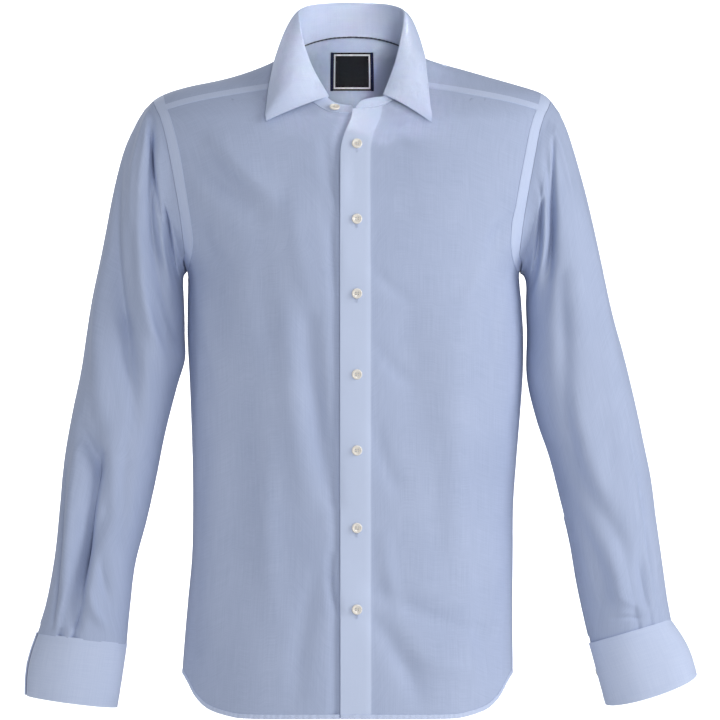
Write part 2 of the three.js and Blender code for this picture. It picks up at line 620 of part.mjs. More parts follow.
// The collar from the centre back forward. Seat counts rows of the neck seam; fold is the
// top of the stand, where the leaf turns over; edge is the leaf's outer edge.
const collarRows = {
  left: [
    { seat: 13, foldX: 0, foldY: 62, foldZ: 66, edgeX: 0, edgeY: 71, edgeZ: 22, roll: 8 },
    { seat: 12, foldX: 23, foldY: 59.5, foldZ: 65.5, edgeX: 29, edgeY: 67.5, edgeZ: 20.5, roll: 8 },
    { seat: 11, foldX: 39, foldY: 50, foldZ: 64, edgeX: 51, edgeY: 57, edgeZ: 18.5, roll: 7.5 },
    { seat: 10, foldX: 50, foldY: 36, foldZ: 61, edgeX: 66, edgeY: 42, edgeZ: 16.5, roll: 7 },
    { seat: 9, foldX: 56, foldY: 19, foldZ: 57.5, edgeX: 74.5, edgeY: 20, edgeZ: 15, roll: 6.5 },
    { seat: 8, foldX: 58, foldY: 0, foldZ: 53, edgeX: 79, edgeY: -5, edgeZ: 12, roll: 6.5 },
    { seat: 7, foldX: 57, foldY: -17, foldZ: 39, edgeX: 82, edgeY: -37, edgeZ: -13, roll: 7 },
    { seat: 6, foldX: 54, foldY: -31, foldZ: 23, edgeX: 84, edgeY: -61, edgeZ: -33, roll: 8.5 },
    { seat: 5, foldX: 50, foldY: -44, foldZ: 5, edgeX: 85.5, edgeY: -80, edgeZ: -49, roll: 10 },
    { seat: 4, foldX: 44.5, foldY: -56, foldZ: -13, edgeX: 87, edgeY: -88, edgeZ: -58, roll: 10.5 },
    { seat: 3, foldX: 36, foldY: -66, foldZ: -36, edgeX: 87, edgeY: -93, edgeZ: -66, roll: 11 },
  ],
  right: [
    { seat: 13, foldX: 0, foldY: 62, foldZ: 66, edgeX: 0, edgeY: 71, edgeZ: 22, roll: 8 },
    { seat: 12, foldX: 23, foldY: 59.5, foldZ: 65.5, edgeX: 30, edgeY: 67.5, edgeZ: 20, roll: 8 },
    { seat: 11, foldX: 39, foldY: 50, foldZ: 64, edgeX: 53, edgeY: 57, edgeZ: 16.5, roll: 7.5 },
    { seat: 10, foldX: 50, foldY: 36, foldZ: 61.5, edgeX: 70, edgeY: 42, edgeZ: 12.5, roll: 7 },
    { seat: 9, foldX: 57, foldY: 19, foldZ: 58, edgeX: 79.5, edgeY: 20, edgeZ: 10.5, roll: 6.5 },
    { seat: 8, foldX: 59, foldY: 0, foldZ: 54, edgeX: 83.5, edgeY: -5, edgeZ: 8.5, roll: 6.5 },
    { seat: 7, foldX: 57.5, foldY: -17, foldZ: 40, edgeX: 89, edgeY: -39, edgeZ: -16, roll: 7 },
    { seat: 6, foldX: 54.5, foldY: -31, foldZ: 23, edgeX: 92, edgeY: -64, edgeZ: -36, roll: 8.5 },
    { seat: 5, foldX: 49, foldY: -44, foldZ: 5, edgeX: 93.5, edgeY: -80, edgeZ: -50, roll: 10 },
    { seat: 4, foldX: 42, foldY: -56, foldZ: -12, edgeX: 94.5, edgeY: -88, edgeZ: -58, roll: 10.5 },
    { seat: 3, foldX: 27, foldY: -67, foldZ: -38, edgeX: 93.5, edgeY: -92, edgeZ: -64, roll: 11 },
  ],
};

// The stand runs on past the leaf at the front, to its lapping ends.
const standEnds = {
  left: [
    { footX: 30, footZ: -48.5, topX: 25, topY: -69, topZ: -38.5 },
    { footX: 16, footZ: -50.5, topX: 13, topY: -71, topZ: -41 },
    { footX: 4, footZ: -50.5, topX: 6, topY: -75, topZ: -45 },
  ],
  right: [
    { footX: 28, footZ: -53, topX: 19, topY: -68, topZ: -44 },
    { footX: 15, footZ: -55.5, topX: 9, topY: -68, topZ: -46.5 },
    { footX: -1, footZ: -56, topX: -3, topY: -68, topZ: -47.5 },
  ],
};
const STAND_SEAT_LIFT = 1.9;
const neckSeams = { left: neckSeam(1), right: neckSeam(-1) };

// Each column of the stand as its foot on the neck seam and its top.
function standColumn(name, row) {
  const side = name === "left" ? 1 : -1;
  if (row.seat !== undefined) {
    const seam = neckSeams[name][row.seat];
    const foot = bodyPoint(side * seam.turn, seam.z + STAND_SEAT_LIFT);
    return [foot, new THREE.Vector3(side * row.foldX, row.foldY, row.foldZ)];
  }
  const x = side * row.footX;
  const z = row.footZ + STAND_SEAT_LIFT;
  const inset = side < 0 ? underLap(x, z) : 0;
  const foot = bodyPoint(turnAt(x, z), z, inset);
  return [foot, new THREE.Vector3(side * row.topX, row.topY, row.topZ)];
}

const standColumns = [
  ...[...standEnds.right].reverse().map((row) => standColumn("right", row)),
  ...[...collarRows.right].reverse().map((row) => standColumn("right", row)),
  ...collarRows.left.slice(1).map((row) => standColumn("left", row)),
  ...standEnds.left.map((row) => standColumn("left", row)),
];

// A smooth curve through a row of points.
function smoothed(points) {
  return new THREE.CatmullRomCurve3(points, false, "centripetal");
}

const COLLAR_STEPS = 34;
const standFootCurve = smoothed(standColumns.map((column) => column[0]));
const standTopCurve = smoothed(standColumns.map((column) => column[1]));
const standFeet = standFootCurve.getPoints(COLLAR_STEPS);
const standTops = standTopCurve.getPoints(COLLAR_STEPS);
const standGrid = [0, 0.5, 1].map((up) => standFeet.map((foot, k) => (
  foot.clone().lerp(standTops[k], up)
)));
finish("collar_stand", wall(standGrid, COLLAR_CLOTH), BAND_BLUE);

// The leaf rolls over the top of the stand and falls to its pointed front corners.
const leafShares = [0, 0.08, 0.2, 0.4, 0.68, 1];
const LEAF_LIFT = 2.9;
const LEAF_BELLY_PLACE = 0.25;
const LEAF_ROLL_CENTRE_Y = -10;
const LEAF_ROLL_RISE = 0.9;
function leafColumn(name, row) {
  const side = name === "left" ? 1 : -1;
  const [foot, fold] = standColumn(name, row);
  const upward = fold.clone().sub(foot).normalize();
  const start = fold.clone().addScaledVector(upward, LEAF_LIFT);
  const edge = new THREE.Vector3(side * row.edgeX, row.edgeY, row.edgeZ);
  const away = new THREE.Vector3(fold.x, fold.y - LEAF_ROLL_CENTRE_Y, 0).normalize().setZ(LEAF_ROLL_RISE);
  const belly = start.clone().lerp(edge, LEAF_BELLY_PLACE).addScaledVector(away, row.roll);
  return leafShares.map((down) => {
    const point = start.clone().multiplyScalar((1 - down) ** 2);
    point.addScaledVector(belly, 2 * down * (1 - down));
    return point.addScaledVector(edge, down * down);
  });
}

const leafColumns = [
  ...[...collarRows.right].reverse().map((row) => leafColumn("right", row)),
  ...collarRows.left.slice(1).map((row) => leafColumn("left", row)),
];
const leafGrid = leafShares.map((down, i) => (
  smoothed(leafColumns.map((column) => column[i])).getPoints(COLLAR_STEPS)
));
finish("collar_leaf", wall(leafGrid, COLLAR_CLOTH), BAND_BLUE);

// The cuffs: barrel cuffs of interfaced cloth whose ends lap and button behind. The outer
// side bellies out a little, and the front of the lower edge dips below its sides.
const cuffs = {
  left: {
    top: { outX: 351, outZ: -611.9, inX: 262.7, inZ: -638, deep: 37.6 },
    bottom: { outX: 379, outZ: -671, inX: 280, inZ: -702, deep: 34 },
    dip: 9,
    openAt: 202,
  },
  right: {
    top: { outX: 345.4, outZ: -627, inX: 248.1, inZ: -639, deep: 37.6 },
    bottom: { outX: 358, outZ: -694, inX: 258.5, inZ: -707, deep: 34 },
    dip: 2,
    openAt: 338,
  },
};
const CUFF_LAP = THREE.MathUtils.degToRad(34);
const CUFF_LAP_STEP = 2.7;
const CUFF_FORWARD = 16;
const CUFF_BELLY = 4;

function cuffPoint(side, down, round, outward = 0) {
  const { top, bottom, dip } = cuffs[side > 0 ? "left" : "right"];
  const mix = (key) => top[key] + (bottom[key] - top[key]) * down;
  const out = new THREE.Vector3(side * mix("outX"), 0, mix("outZ"));
  const inner = new THREE.Vector3(side * mix("inX"), 0, mix("inZ"));
  const middle = out.clone().add(inner).multiplyScalar(0.5);
  const across = out.clone().sub(inner).multiplyScalar(0.5);
  const reach = across.length();
  const toFront = new THREE.Vector3(0, -1, 0);
  const point = middle.addScaledVector(across, Math.cos(round));
  point.addScaledVector(toFront, mix("deep") * Math.sin(round) + CUFF_FORWARD);
  const normal = across.divideScalar(reach * reach).multiplyScalar(Math.cos(round));
  normal.addScaledVector(toFront, Math.sin(round) / mix("deep")).normalize();
  const belly = CUFF_BELLY * Math.sin(Math.PI * down) * Math.max(0, Math.cos(round)) ** 2;
  point.z -= dip * down * Math.sin(round);
  return { point: point.addScaledVector(normal, belly + outward), normal };
}

// A four-hole button: a disc whose axis points the given way.
const BUTTON_HOLE_RADIUS = 0.85;
const BUTTON_HOLE_REACH = 1.6;
const BUTTON_SIDES = 16;
const BUTTON_HOLE_SIDES = 5;
function circlePoints(radius, sides, x = 0, y = 0) {
  return range(sides).slice(0, -1).map((t) => {
    const angle = 2 * Math.PI * t;
    return new THREE.Vector2(x + radius * Math.cos(angle), y + radius * Math.sin(angle));
  });
}

function buttonShape() {
  const shape = new THREE.Shape(circlePoints(BUTTON_DIAMETER / 2, BUTTON_SIDES));
  for (const corner of range(4).slice(0, -1)) {
    const angle = Math.PI / 4 + 2 * Math.PI * corner;
    const x = BUTTON_HOLE_REACH * Math.cos(angle);
    const y = BUTTON_HOLE_REACH * Math.sin(angle);
    shape.holes.push(new THREE.Path(circlePoints(BUTTON_HOLE_RADIUS, BUTTON_HOLE_SIDES, x, y)));
  }
  return new THREE.ExtrudeGeometry(shape, { depth: BUTTON_THICKNESS, bevelEnabled: false });
}

function button(name, point, normal, lift) {
  const mesh = finish(name, buttonShape(), PEARL, 0.3);
  mesh.position.copy(point).addScaledVector(normal, lift);
  mesh.quaternion.setFromUnitVectors(new THREE.Vector3(0, 0, 1), normal);
}

// The direction the body's cloth faces at a height on the centre front.
function frontNormal(x, z) {
  const step = 6;
  const up = bodyPoint(turnAt(x, z + step), z + step);
  const down = bodyPoint(turnAt(x, z - step), z - step);
  const nearer = bodyPoint(turnAt(x - step, z), z);
  const farther = bodyPoint(turnAt(x + step, z), z);
  return farther.sub(nearer).cross(up.sub(down)).normalize();
}

// Seven buttons close the front, on the strip of double cloth.
const frontButtonHeights = [-90, -172, -253, -341, -424, -509, -598];
const BUTTON_SEAT = 1.5;
frontButtonHeights.forEach((z, k) => {
  const point = bodyPoint(turnAt(BUTTON_X, z), z);
  button(`front_button_${k + 1}`, point, frontNormal(BUTTON_X, z), BUTTON_SEAT);
});

// The collar's own button sits near the end of the stand that lies underneath.
const STAND_BUTTON_PLACE = 1.5 / (standColumns.length - 1);
const STAND_BUTTON_UP = 0.34;
const STAND_BUTTON_LIFT = 1.8;
const standFoot = standFootCurve.getPoint(STAND_BUTTON_PLACE);
const standTop = standTopCurve.getPoint(STAND_BUTTON_PLACE);
const standUp = standTop.clone().sub(standFoot);
const standNormal = standUp.cross(standFootCurve.getTangent(STAND_BUTTON_PLACE)).normalize();
const standSeat = standFoot.clone().lerp(standTop, STAND_BUTTON_UP);
button("stand_button", standSeat, standNormal, STAND_BUTTON_LIFT);

const CUFF_BUTTON_LIFT = 3;
const CUFF_CLIMB = { from: 0.3, before: 0.03 };
const PLACKET_RINGS = { from: 10.4, count: 3.3 };
const PLACKET_SPREAD = 0.24;
const PLACKET_LIFT = 2;
for (const [name, side] of [["left", 1], ["right", -1]]) {
  const open = THREE.MathUtils.degToRad(cuffs[name].openAt);
  const start = open - CUFF_LAP / 2;
  const turns = 2 * Math.PI + CUFF_LAP;
  const grid = [0, 0.5, 1].map((down) => range(28).map((u) => {
    const climb = smoothStep(CUFF_CLIMB.from, 1 - CUFF_LAP / turns - CUFF_CLIMB.before, u) - 0.5;
    return cuffPoint(side, down, start + turns * u, CUFF_LAP_STEP * climb).point;
  }));
  finish(`cuff_${name}`, wall(grid, INTERFACED), BAND_BLUE);
  const seat = cuffPoint(side, 0.5, open);
  button(`cuff_button_${name}`, seat.point, seat.normal, CUFF_BUTTON_LIFT);

  // The binding of the slit above the cuff lies on the sleeve, in line with the button.
  const placket = range(8).map((t) => [-1, 0, 1].map((spread) => {
    const ring = PLACKET_RINGS.from + PLACKET_RINGS.count * t;
    return sleevePoint(side, ring, open + PLACKET_SPREAD * spread);
  }));
  const facing = movedOut(placket, -side * PLACKET_LIFT);
  finish(`sleeve_placket_${name}`, wall(facing, PLACKET_CLOTH), BAND_BLUE);
}

// The label is sewn flat on the inner yoke, below the centre of the neck.
const LABEL_TOP_Z = 15;
const LABEL_CLEARANCE = 0.2;
const labelGrid = range(3).map((down) => range(4).map((across) => {
  const z = LABEL_TOP_Z - LABEL_HEIGHT * down;
  const x = LABEL_WIDTH * (across - 0.5);
  return bodyPoint(turnAt(x, z, false), z);
}));
const labelDepth = 1.5 * CLOTH + LINING_GAP + SEAM_GAP + LABEL_CLOTH / 2 + LABEL_CLEARANCE;
finish("label", wall(movedOut(labelGrid, labelDepth), LABEL_CLOTH), LABEL_DARK);

// A dark cord is set in the seam between the stand and the inner yoke.
const PIPING_RADIUS = 0.7;
const PIPING_DEPTH = 3.6;
const PIPING_SIDES = 6;
const PIPING_ARC = { from: 116, sweep: 128 };
const pipingTurns = range(20).map((t) => THREE.MathUtils.degToRad(
  PIPING_ARC.from + PIPING_ARC.sweep * t,
));
const pipingCurve = new THREE.CatmullRomCurve3(pipingTurns.map((turn) => {
  const signed = turn > Math.PI ? turn - 2 * Math.PI : turn;
  const rows = neckSeams[signed < 0 ? "right" : "left"];
  const z = readTable(rows.slice(RIDGE_ROW), "turn", "z", Math.abs(signed));
  return bodyPoint(signed, z, -PIPING_DEPTH);
}));
const pipingSection = new THREE.Shape(circlePoints(PIPING_RADIUS, PIPING_SIDES));
const pipingForm = new THREE.ExtrudeGeometry(pipingSection, { steps: 22, extrudePath: pipingCurve });
finish("neck_piping", pipingForm, NAVY);

export default shirt;
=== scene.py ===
import math

import bmesh
import bpy
import numpy as np
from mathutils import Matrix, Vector
from mathutils.geometry import tessellate_polygon


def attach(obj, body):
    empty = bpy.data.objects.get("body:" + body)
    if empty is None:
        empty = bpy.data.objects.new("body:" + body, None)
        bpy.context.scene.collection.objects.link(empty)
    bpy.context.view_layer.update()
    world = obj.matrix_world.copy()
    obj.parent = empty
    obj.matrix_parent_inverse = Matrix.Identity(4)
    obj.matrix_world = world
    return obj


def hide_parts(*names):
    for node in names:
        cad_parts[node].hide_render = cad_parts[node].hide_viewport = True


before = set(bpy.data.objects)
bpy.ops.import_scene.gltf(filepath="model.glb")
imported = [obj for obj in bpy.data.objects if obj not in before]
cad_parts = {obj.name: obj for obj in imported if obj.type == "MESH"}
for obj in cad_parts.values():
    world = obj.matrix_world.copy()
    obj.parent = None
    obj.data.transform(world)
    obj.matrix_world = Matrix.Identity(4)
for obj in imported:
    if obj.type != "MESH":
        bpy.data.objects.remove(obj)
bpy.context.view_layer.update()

# The studio: a pale seamless floor that curves up into a backdrop, and soft white light.
# The shirt hangs clear of the floor, as it does on the wearer who is not there.
PIXEL_MM = 1.1
FRAME_PIXELS = 720
CENTRE_LINE_PIXEL = 352
NECK_BASE_PIXEL = 64
CAMERA_DISTANCE = 14.0
FLOOR_Z = -1.5
SENSOR_MM = 36.0
WORLD_STRENGTH = 0.24


def srgb(hex_colour):
    """Linear colour, with alpha, of an sRGB hex value."""
    channels = [int(hex_colour[k:k + 2], 16) / 255 for k in (1, 3, 5)]
    linear = [c / 12.92 if c <= 0.04045 else ((c + 0.055) / 1.055) ** 2.4 for c in channels]
    return (*linear, 1.0)


def add_node(tree, kind, settings=None, links=None):
    """Adds a shader node, sets its attributes and sockets, and links other sockets into it."""
    node = tree.nodes.new(kind)
    for name, value in (settings or {}).items():
        if isinstance(name, int) or name in node.inputs:
            node.inputs[name].default_value = value
        else:
            setattr(node, name, value)
    for name, socket in (links or {}).items():
        tree.links.new(socket, node.inputs[name])
    return node


def new_material(name):
    material = bpy.data.materials.new(name)
    material.use_nodes = True
    tree = material.node_tree
    tree.nodes.clear()
    output = add_node(tree, "ShaderNodeOutputMaterial")
    return material, tree, output


def finish_material(tree, output, shader):
    tree.links.new(shader.outputs[0], output.inputs["Surface"])


def painted_paper():
    """Matt white studio paper: no weave or gloss, only a soft even white."""
    material, tree, output = new_material("studio_paper")
    grain = add_node(tree, "ShaderNodeTexNoise", {"Scale": 6.0, "Detail": 2.0})
    tint = add_node(tree, "ShaderNodeMix", {"data_type": "RGBA"}, {"Factor": grain.outputs["Fac"]})
    tint.inputs[6].default_value = srgb("#FAFAFA")
    tint.inputs[7].default_value = srgb("#FFFFFF")
    shader = add_node(tree, "ShaderNodeBsdfPrincipled", {"Roughness": 0.9, "Specular IOR Level": 0.1})
    tree.links.new(tint.outputs[2], shader.inputs["Base Color"])
    finish_material(tree, output, shader)
    return material


# The floor runs past every place that a camera looks from, and curves up far behind them.
FLOOR_REACH = 30.0
BACKDROP_Y = 26.0
BACKDROP_HEIGHT = 7.0
FLOOR_CURVE = 0.6
curve_start = BACKDROP_Y - FLOOR_CURVE
floor_profile = [(-FLOOR_REACH, 0.0), (curve_start, 0.0)]
floor_profile += [
    (curve_start + FLOOR_CURVE * math.sin(a), FLOOR_CURVE * (1 - math.cos(a)))
    for a in np.linspace(0.15, math.pi / 2, 12)
]
floor_profile += [(BACKDROP_Y, BACKDROP_HEIGHT)]
floor_vertices = [(x, y, FLOOR_Z + z) for y, z in floor_profile for x in (-FLOOR_REACH, FLOOR_REACH)]
floor_faces = [(2 * k, 2 * k + 1, 2 * k + 3, 2 * k + 2) for k in range(len(floor_profile) - 1)]
floor_mesh = bpy.data.meshes.new("studio_floor")
floor_mesh.from_pydata(floor_vertices, [], floor_faces)
floor_mesh.materials.append(painted_paper())
floor_mesh.polygons.foreach_set("use_smooth", [True] * len(floor_mesh.polygons))
studio_floor = bpy.data.objects.new("studio_floor", floor_mesh)
bpy.context.scene.collection.objects.link(studio_floor)

view_half = FRAME_PIXELS / 2
aim = Vector((
    (view_half - CENTRE_LINE_PIXEL) * PIXEL_MM / 1000,
    0.0,
    (NECK_BASE_PIXEL - view_half) * PIXEL_MM / 1000,
))
camera_data = bpy.data.cameras.new("studio_camera")
camera_data.sensor_width = SENSOR_MM
camera_data.lens = SENSOR_MM * CAMERA_DISTANCE / (FRAME_PIXELS * PIXEL_MM / 1000)
camera_data.clip_end = 60.0
camera = bpy.data.objects.new("studio_camera", camera_data)
camera.location = aim + Vector((0.0, -CAMERA_DISTANCE, 0.0))
camera.rotation_euler = (math.pi / 2, 0.0, 0.0)
bpy.context.scene.collection.objects.link(camera)
bpy.context.scene.camera = camera

# Lights: name, place, aim, width, power in watts, spread in degrees. The wearer's left is lit
# most, a narrow lamp looks into the neck, and one lamp whitens the backdrop alone.
studio_lights = [
    ("right_softbox", (3.6, -1.7, 0.9), (0.0, 0.0, -0.3), 2.0, 88.0, 180),
    ("left_softbox", (-3.6, -1.4, 0.8), (0.0, 0.0, -0.3), 1.0, 22.0, 180),
    ("front_softbox", (1.1, -5.2, 1.5), (0.0, 0.0, -0.35), 1.8, 78.0, 180),
    ("neck_softbox", (0.9, -4.2, 0.9), (-0.005, 0.05, -0.01), 0.1, 0.055, 2.6),
    ("rear_softbox", (-1.6, 4.0, 1.8), (0.0, 0.0, -0.3), 2.4, 60.0, 180),
    ("backdrop_softbox", (0.0, 21.6, 1.9), (0.0, 26.0, -0.5), 2.6, 400.0, 180),
]
for name, place, target, width, power, spread in studio_lights:
    light = bpy.data.lights.new(name, "AREA")
    light.shape = "SQUARE"
    light.size = width
    light.energy = power
    light.spread = math.radians(spread)
    lamp = bpy.data.objects.new(name, light)
    lamp.location = place
    lamp.rotation_euler = (Vector(target) - Vector(place)).to_track_quat("-Z", "Y").to_euler()
    bpy.context.scene.collection.objects.link(lamp)
world = bpy.data.worlds.new("studio_air")
world.use_nodes = True
air = world.node_tree.nodes["Background"]
air.inputs["Color"].default_value = (1.0, 1.0, 1.0, 1.0)
air.inputs["Strength"].default_value = WORLD_STRENGTH
bpy.context.scene.world = world
bpy.context.scene.view_settings.view_transform = "Standard"

# The fronts: two panels of light blue cotton poplin, cut from the neck to a shirt-tail hem.
# The wearer's left one laps over and its edge is folded back, so it needs no stitched band;
# the right one runs on below it and carries the buttons.
CLOTH = 0.9
SKIN_DROP = 0.15
SEAM_GAP = 0.35
LAP_INSET = 3.0
PLACKET_WIDTH = 34
UNDER_LAP = 20
ARMPIT_Z = -228
SHOULDER_TIP_Z = -41
BODY_SQUARENESS = 2.3
QUARTER = math.pi / 2


def table(names, rows):
    """A table with named columns, as arrays."""
    return {name: np.array([row[k] for row in rows], float) for k, name in enumerate(names.split())}


def read(rows, key, column, at):
    """Reads a column at many keys, along a smooth curve through the rows."""
    order = np.argsort(rows[key])
    keys = rows[key][order]
    values = rows[column][order]
    at = np.clip(np.asarray(at, float), keys[0], keys[-1])
    last = len(keys) - 1
    slopes = np.array([
        (values[min(last, k + 1)] - values[max(0, k - 1)]) / (keys[min(last, k + 1)] - keys[max(0, k - 1)])
        for k in range(last + 1)
    ])
    i = np.clip(np.searchsorted(keys, at, side="right") - 1, 0, last - 1)
    span = keys[i + 1] - keys[i]
    t = (at - keys[i]) / span
    rise = 3 * t * t - 2 * t ** 3
    bend = slopes[i] * (t - 2 * t * t + t ** 3) + slopes[i + 1] * (t ** 3 - t * t)
    return values[i] * (1 - rise) + values[i + 1] * rise + bend * span


def smooth_step(low, high, value):
    t = np.clip((np.asarray(value, float) - low) / (high - low), 0, 1)
    return t * t * (3 - 2 * t)


body_sections = table("z left right front back", [
    (34, 65, 65, 18, 60),
    (22, 68, 68, 18, 64),
    (10, 74, 74, 20, 68),
    (3, 88, 85, 23, 71),
    (-7, 123, 108, 29, 75),
    (-17, 158, 140, 38, 79),
    (-25, 186, 178, 47, 82),
    (-32, 207, 202, 57, 85),
    (-41, 218, 218, 69, 89),
    (-50, 222, 222, 80, 93),
    (-62, 224, 224, 90, 97),
    (-100, 223, 223, 106, 107),
    (-136, 217, 217, 118, 113),
    (-170, 207, 207, 126, 116),
    (-200, 196, 195, 129, 116),
    (-228, 184, 181, 130, 114),
    (-265, 185.5, 180, 129, 109),
    (-300, 187.5, 180, 127, 104),
    (-350, 186.5, 177.5, 122, 99),
    (-434, 180, 174.5, 114, 96),
    (-484, 176.5, 174, 111, 98),
    (-540, 176, 175, 112, 104),
    (-596, 175.5, 180, 115, 109),
    (-672, 176, 186, 118, 113),
    (-725, 176, 188, 119, 114),
])
armhole_line = table("z front back", [
    (-41, 218, 218),
    (-50, 214.5, 208),
    (-58, 210.5, 203),
    (-76, 205, 196),
    (-100, 200, 190),
    (-136, 193.5, 184),
    (-170, 188, 181),
    (-200, 184, 180),
    (-228, 181, 181),
])
hem_line = table("turn z", [
    (0, -717), (36, -717), (46, -713), (56, -706), (65, -694), (73, -680), (81, -672), (90, -669),
])
front_neck_line = {
    "left": table("x z", [
        (0, -50.5), (16, -50.5), (30, -48.5), (46, -41.5), (58, -34), (66, -25), (70, -12), (72.5, 0),
        (74, 10),
    ]),
    "right": table("x z", [
        (0, -56), (15, -55.5), (28, -53), (43, -44), (57, -34.5), (66, -25), (70, -12), (72.5, 0), (74, 10),
    ]),
}
back_neck_line = table("turn z", [(108, 14.5), (126, 20), (144, 25.5), (162, 29.5), (180, 31)])
YOKE_CORNER_ROW = 5
RIDGE_ROW = 8

# Folds: where each one runs in the front view, how wide and how deep it is in mm, how far
# its middle bows sideways, and how much wider one of its sides is than the other. The cloth's
# folds are deeper than the solid's by FOLD_GAIN, and it has small ones that the solid hasn't.
FOLD_GAIN = 0.4
SMALL_FOLD_GAIN = 1.9
FOLD_COLUMNS = "x0 z0 x1 z1 width depth bow steep"
front_folds = table(FOLD_COLUMNS, [
    (-168, -102, -108, -160, 17, -7, 3, 0),
    (-150, -92, -92, -140, 13, 4, 2, 0),
    (172, -172, 146, -216, 9, -4, 3, 0),
    (-48, -285, -21, -480, 11, -5, 3, 0),
    (-72, -270, -50, -470, 16, 3.5, 3, 0),
    (28, -612, 74, -694, 13, -4.5, -4, 0),
    (28, -578, 150, -628, 14, -4.5, 5, 0),
    (60, -640, 128, -664, 15, 3.5, 3, 0),
    (60, -230, 78, -420, 24, -3, 4, 0),
    (118, -300, 112, -520, 22, 3.5, 4, 0),
    (-122, -330, -118, -560, 22, -3.5, 5, 0),
    (-150, -430, -156, -640, 16, 4, 3, 0),
])
small_front_folds = table(FOLD_COLUMNS, [
    (-28, -78, -20, -140, 6, -1.6, 2, 0.4),
    (-30, -150, -18, -246, 8, -1.5, -3, 0.2),
    (-22, -540, -14, -600, 5, -2.2, 2, 0.3),
    (-62, -140, -48, -250, 13, 1.3, 4, 0),
    (40, -84, 62, -92, 7, -1.2, -3, 0),
    (44, -150, 84, -158, 11, -1.0, 4, 0),
    (26, -228, 60, -258, 8, -1.3, 3, 0),
    (28, -312, 66, -352, 9, -1.2, 3, 0),
    (26, -396, 52, -470, 10, -1.4, 4, 0),
    (150, -190, 122, -262, 10, 1.4, -4, 0),
    (166, -236, 150, -330, 8, -1.3, 4, 0),
    (-166, -170, -138, -232, 9, -1.5, 4, 0),
    (-162, -240, -150, -340, 8, 1.4, 4, 0),
    (-100, -180, -84, -330, 16, -1.4, 5, 0),
    (-90, -420, -86, -600, 14, 1.5, 5, 0),
    (-40, -560, -60, -690, 12, -1.8, 4, 0),
    (96, -420, 100, -560, 15, -1.5, 5, 0),
    (142, -560, 150, -680, 10, -1.6, 3, 0),
    (36, -520, 52, -600, 9, 1.4, 3, 0),
    (-176, -470, -172, -640, 7, -1.5, 3, 0),
])
back_folds = table(FOLD_COLUMNS, [
    (-112, -170, -84, -470, 20, -6, 5, 0),
    (-66, -240, -58, -660, 18, 4, 5, 0),
    (-14, -330, -22, -700, 20, -5, 5, 0),
    (44, -260, 34, -640, 20, 5, 5, 0),
    (104, -160, 82, -520, 19, -6, 5, 0),
    (130, -420, 118, -690, 18, 5, 5, 0),
    (-128, -460, -112, -690, 18, -5, 5, 0),
])
small_back_folds = table(FOLD_COLUMNS, [
    (-150, -130, -122, -210, 12, 2.0, 4, 0),
    (150, -130, 120, -220, 12, 2.0, -4, 0),
    (-160, -220, -146, -330, 9, -1.8, 4, 0),
    (158, -230, 148, -340, 9, -1.8, 4, 0),
    (-40, -120, -34, -230, 13, -1.2, 4, 0),
    (30, -110, 22, -240, 13, 1.2, 4, 0),
    (-92, -400, -96, -560, 12, 2.0, 4, 0),
    (66, -430, 62, -600, 12, -2.0, 4, 0),
    (4, -520, 8, -690, 10, 1.6, 3, 0),
    (156, -440, 152, -640, 10, -1.8, 4, 0),
    (-70, -120, -120, -150, 12, -1.0, 4, 0),
    (76, -118, 128, -150, 12, -1.0, 4, 0),
])


def fold_shift(folds, x, z):
    """How far a table of folds moves the cloth outward at points of the flat view."""
    shift = np.zeros(np.broadcast(x, z).shape)
    for k in range(len(folds["x0"])):
        fold = {name: column[k] for name, column in folds.items()}
        dx, dz = fold["x1"] - fold["x0"], fold["z1"] - fold["z0"]
        long = math.hypot(dx, dz)
        along = ((x - fold["x0"]) * dx + (z - fold["z0"]) * dz) / long ** 2
        held = np.clip(along, 0, 1)
        side = ((x - fold["x0"]) * dz - (z - fold["z0"]) * dx) / long
        side = side - fold["bow"] * np.sin(math.pi * held)
        past = (along - held) * long
        width = fold["width"] * (1 + fold["steep"] * np.sign(side))
        strength = 0.45 + 0.55 * np.sin(math.pi * held)
        shift = shift + fold["depth"] * strength * np.exp(-(side / width) ** 2 - (past / fold["width"]) ** 2)
    return shift


def slack(x, z, seed):
    """The slight unevenness that pressed cotton keeps: three crossing swells under a millimetre."""
    return (
        0.34 * np.sin(x / 17.0 + 1.3 * np.sin(z / 61.0 + seed) + seed)
        * np.sin(z / 73.0 + 0.9 * np.sin(x / 43.0 + 2 * seed))
        + 0.2 * np.sin((x + 0.6 * z) / 23.0 + 1.7 * seed) * np.sin((z - 0.4 * x) / 39.0 + seed)
    )


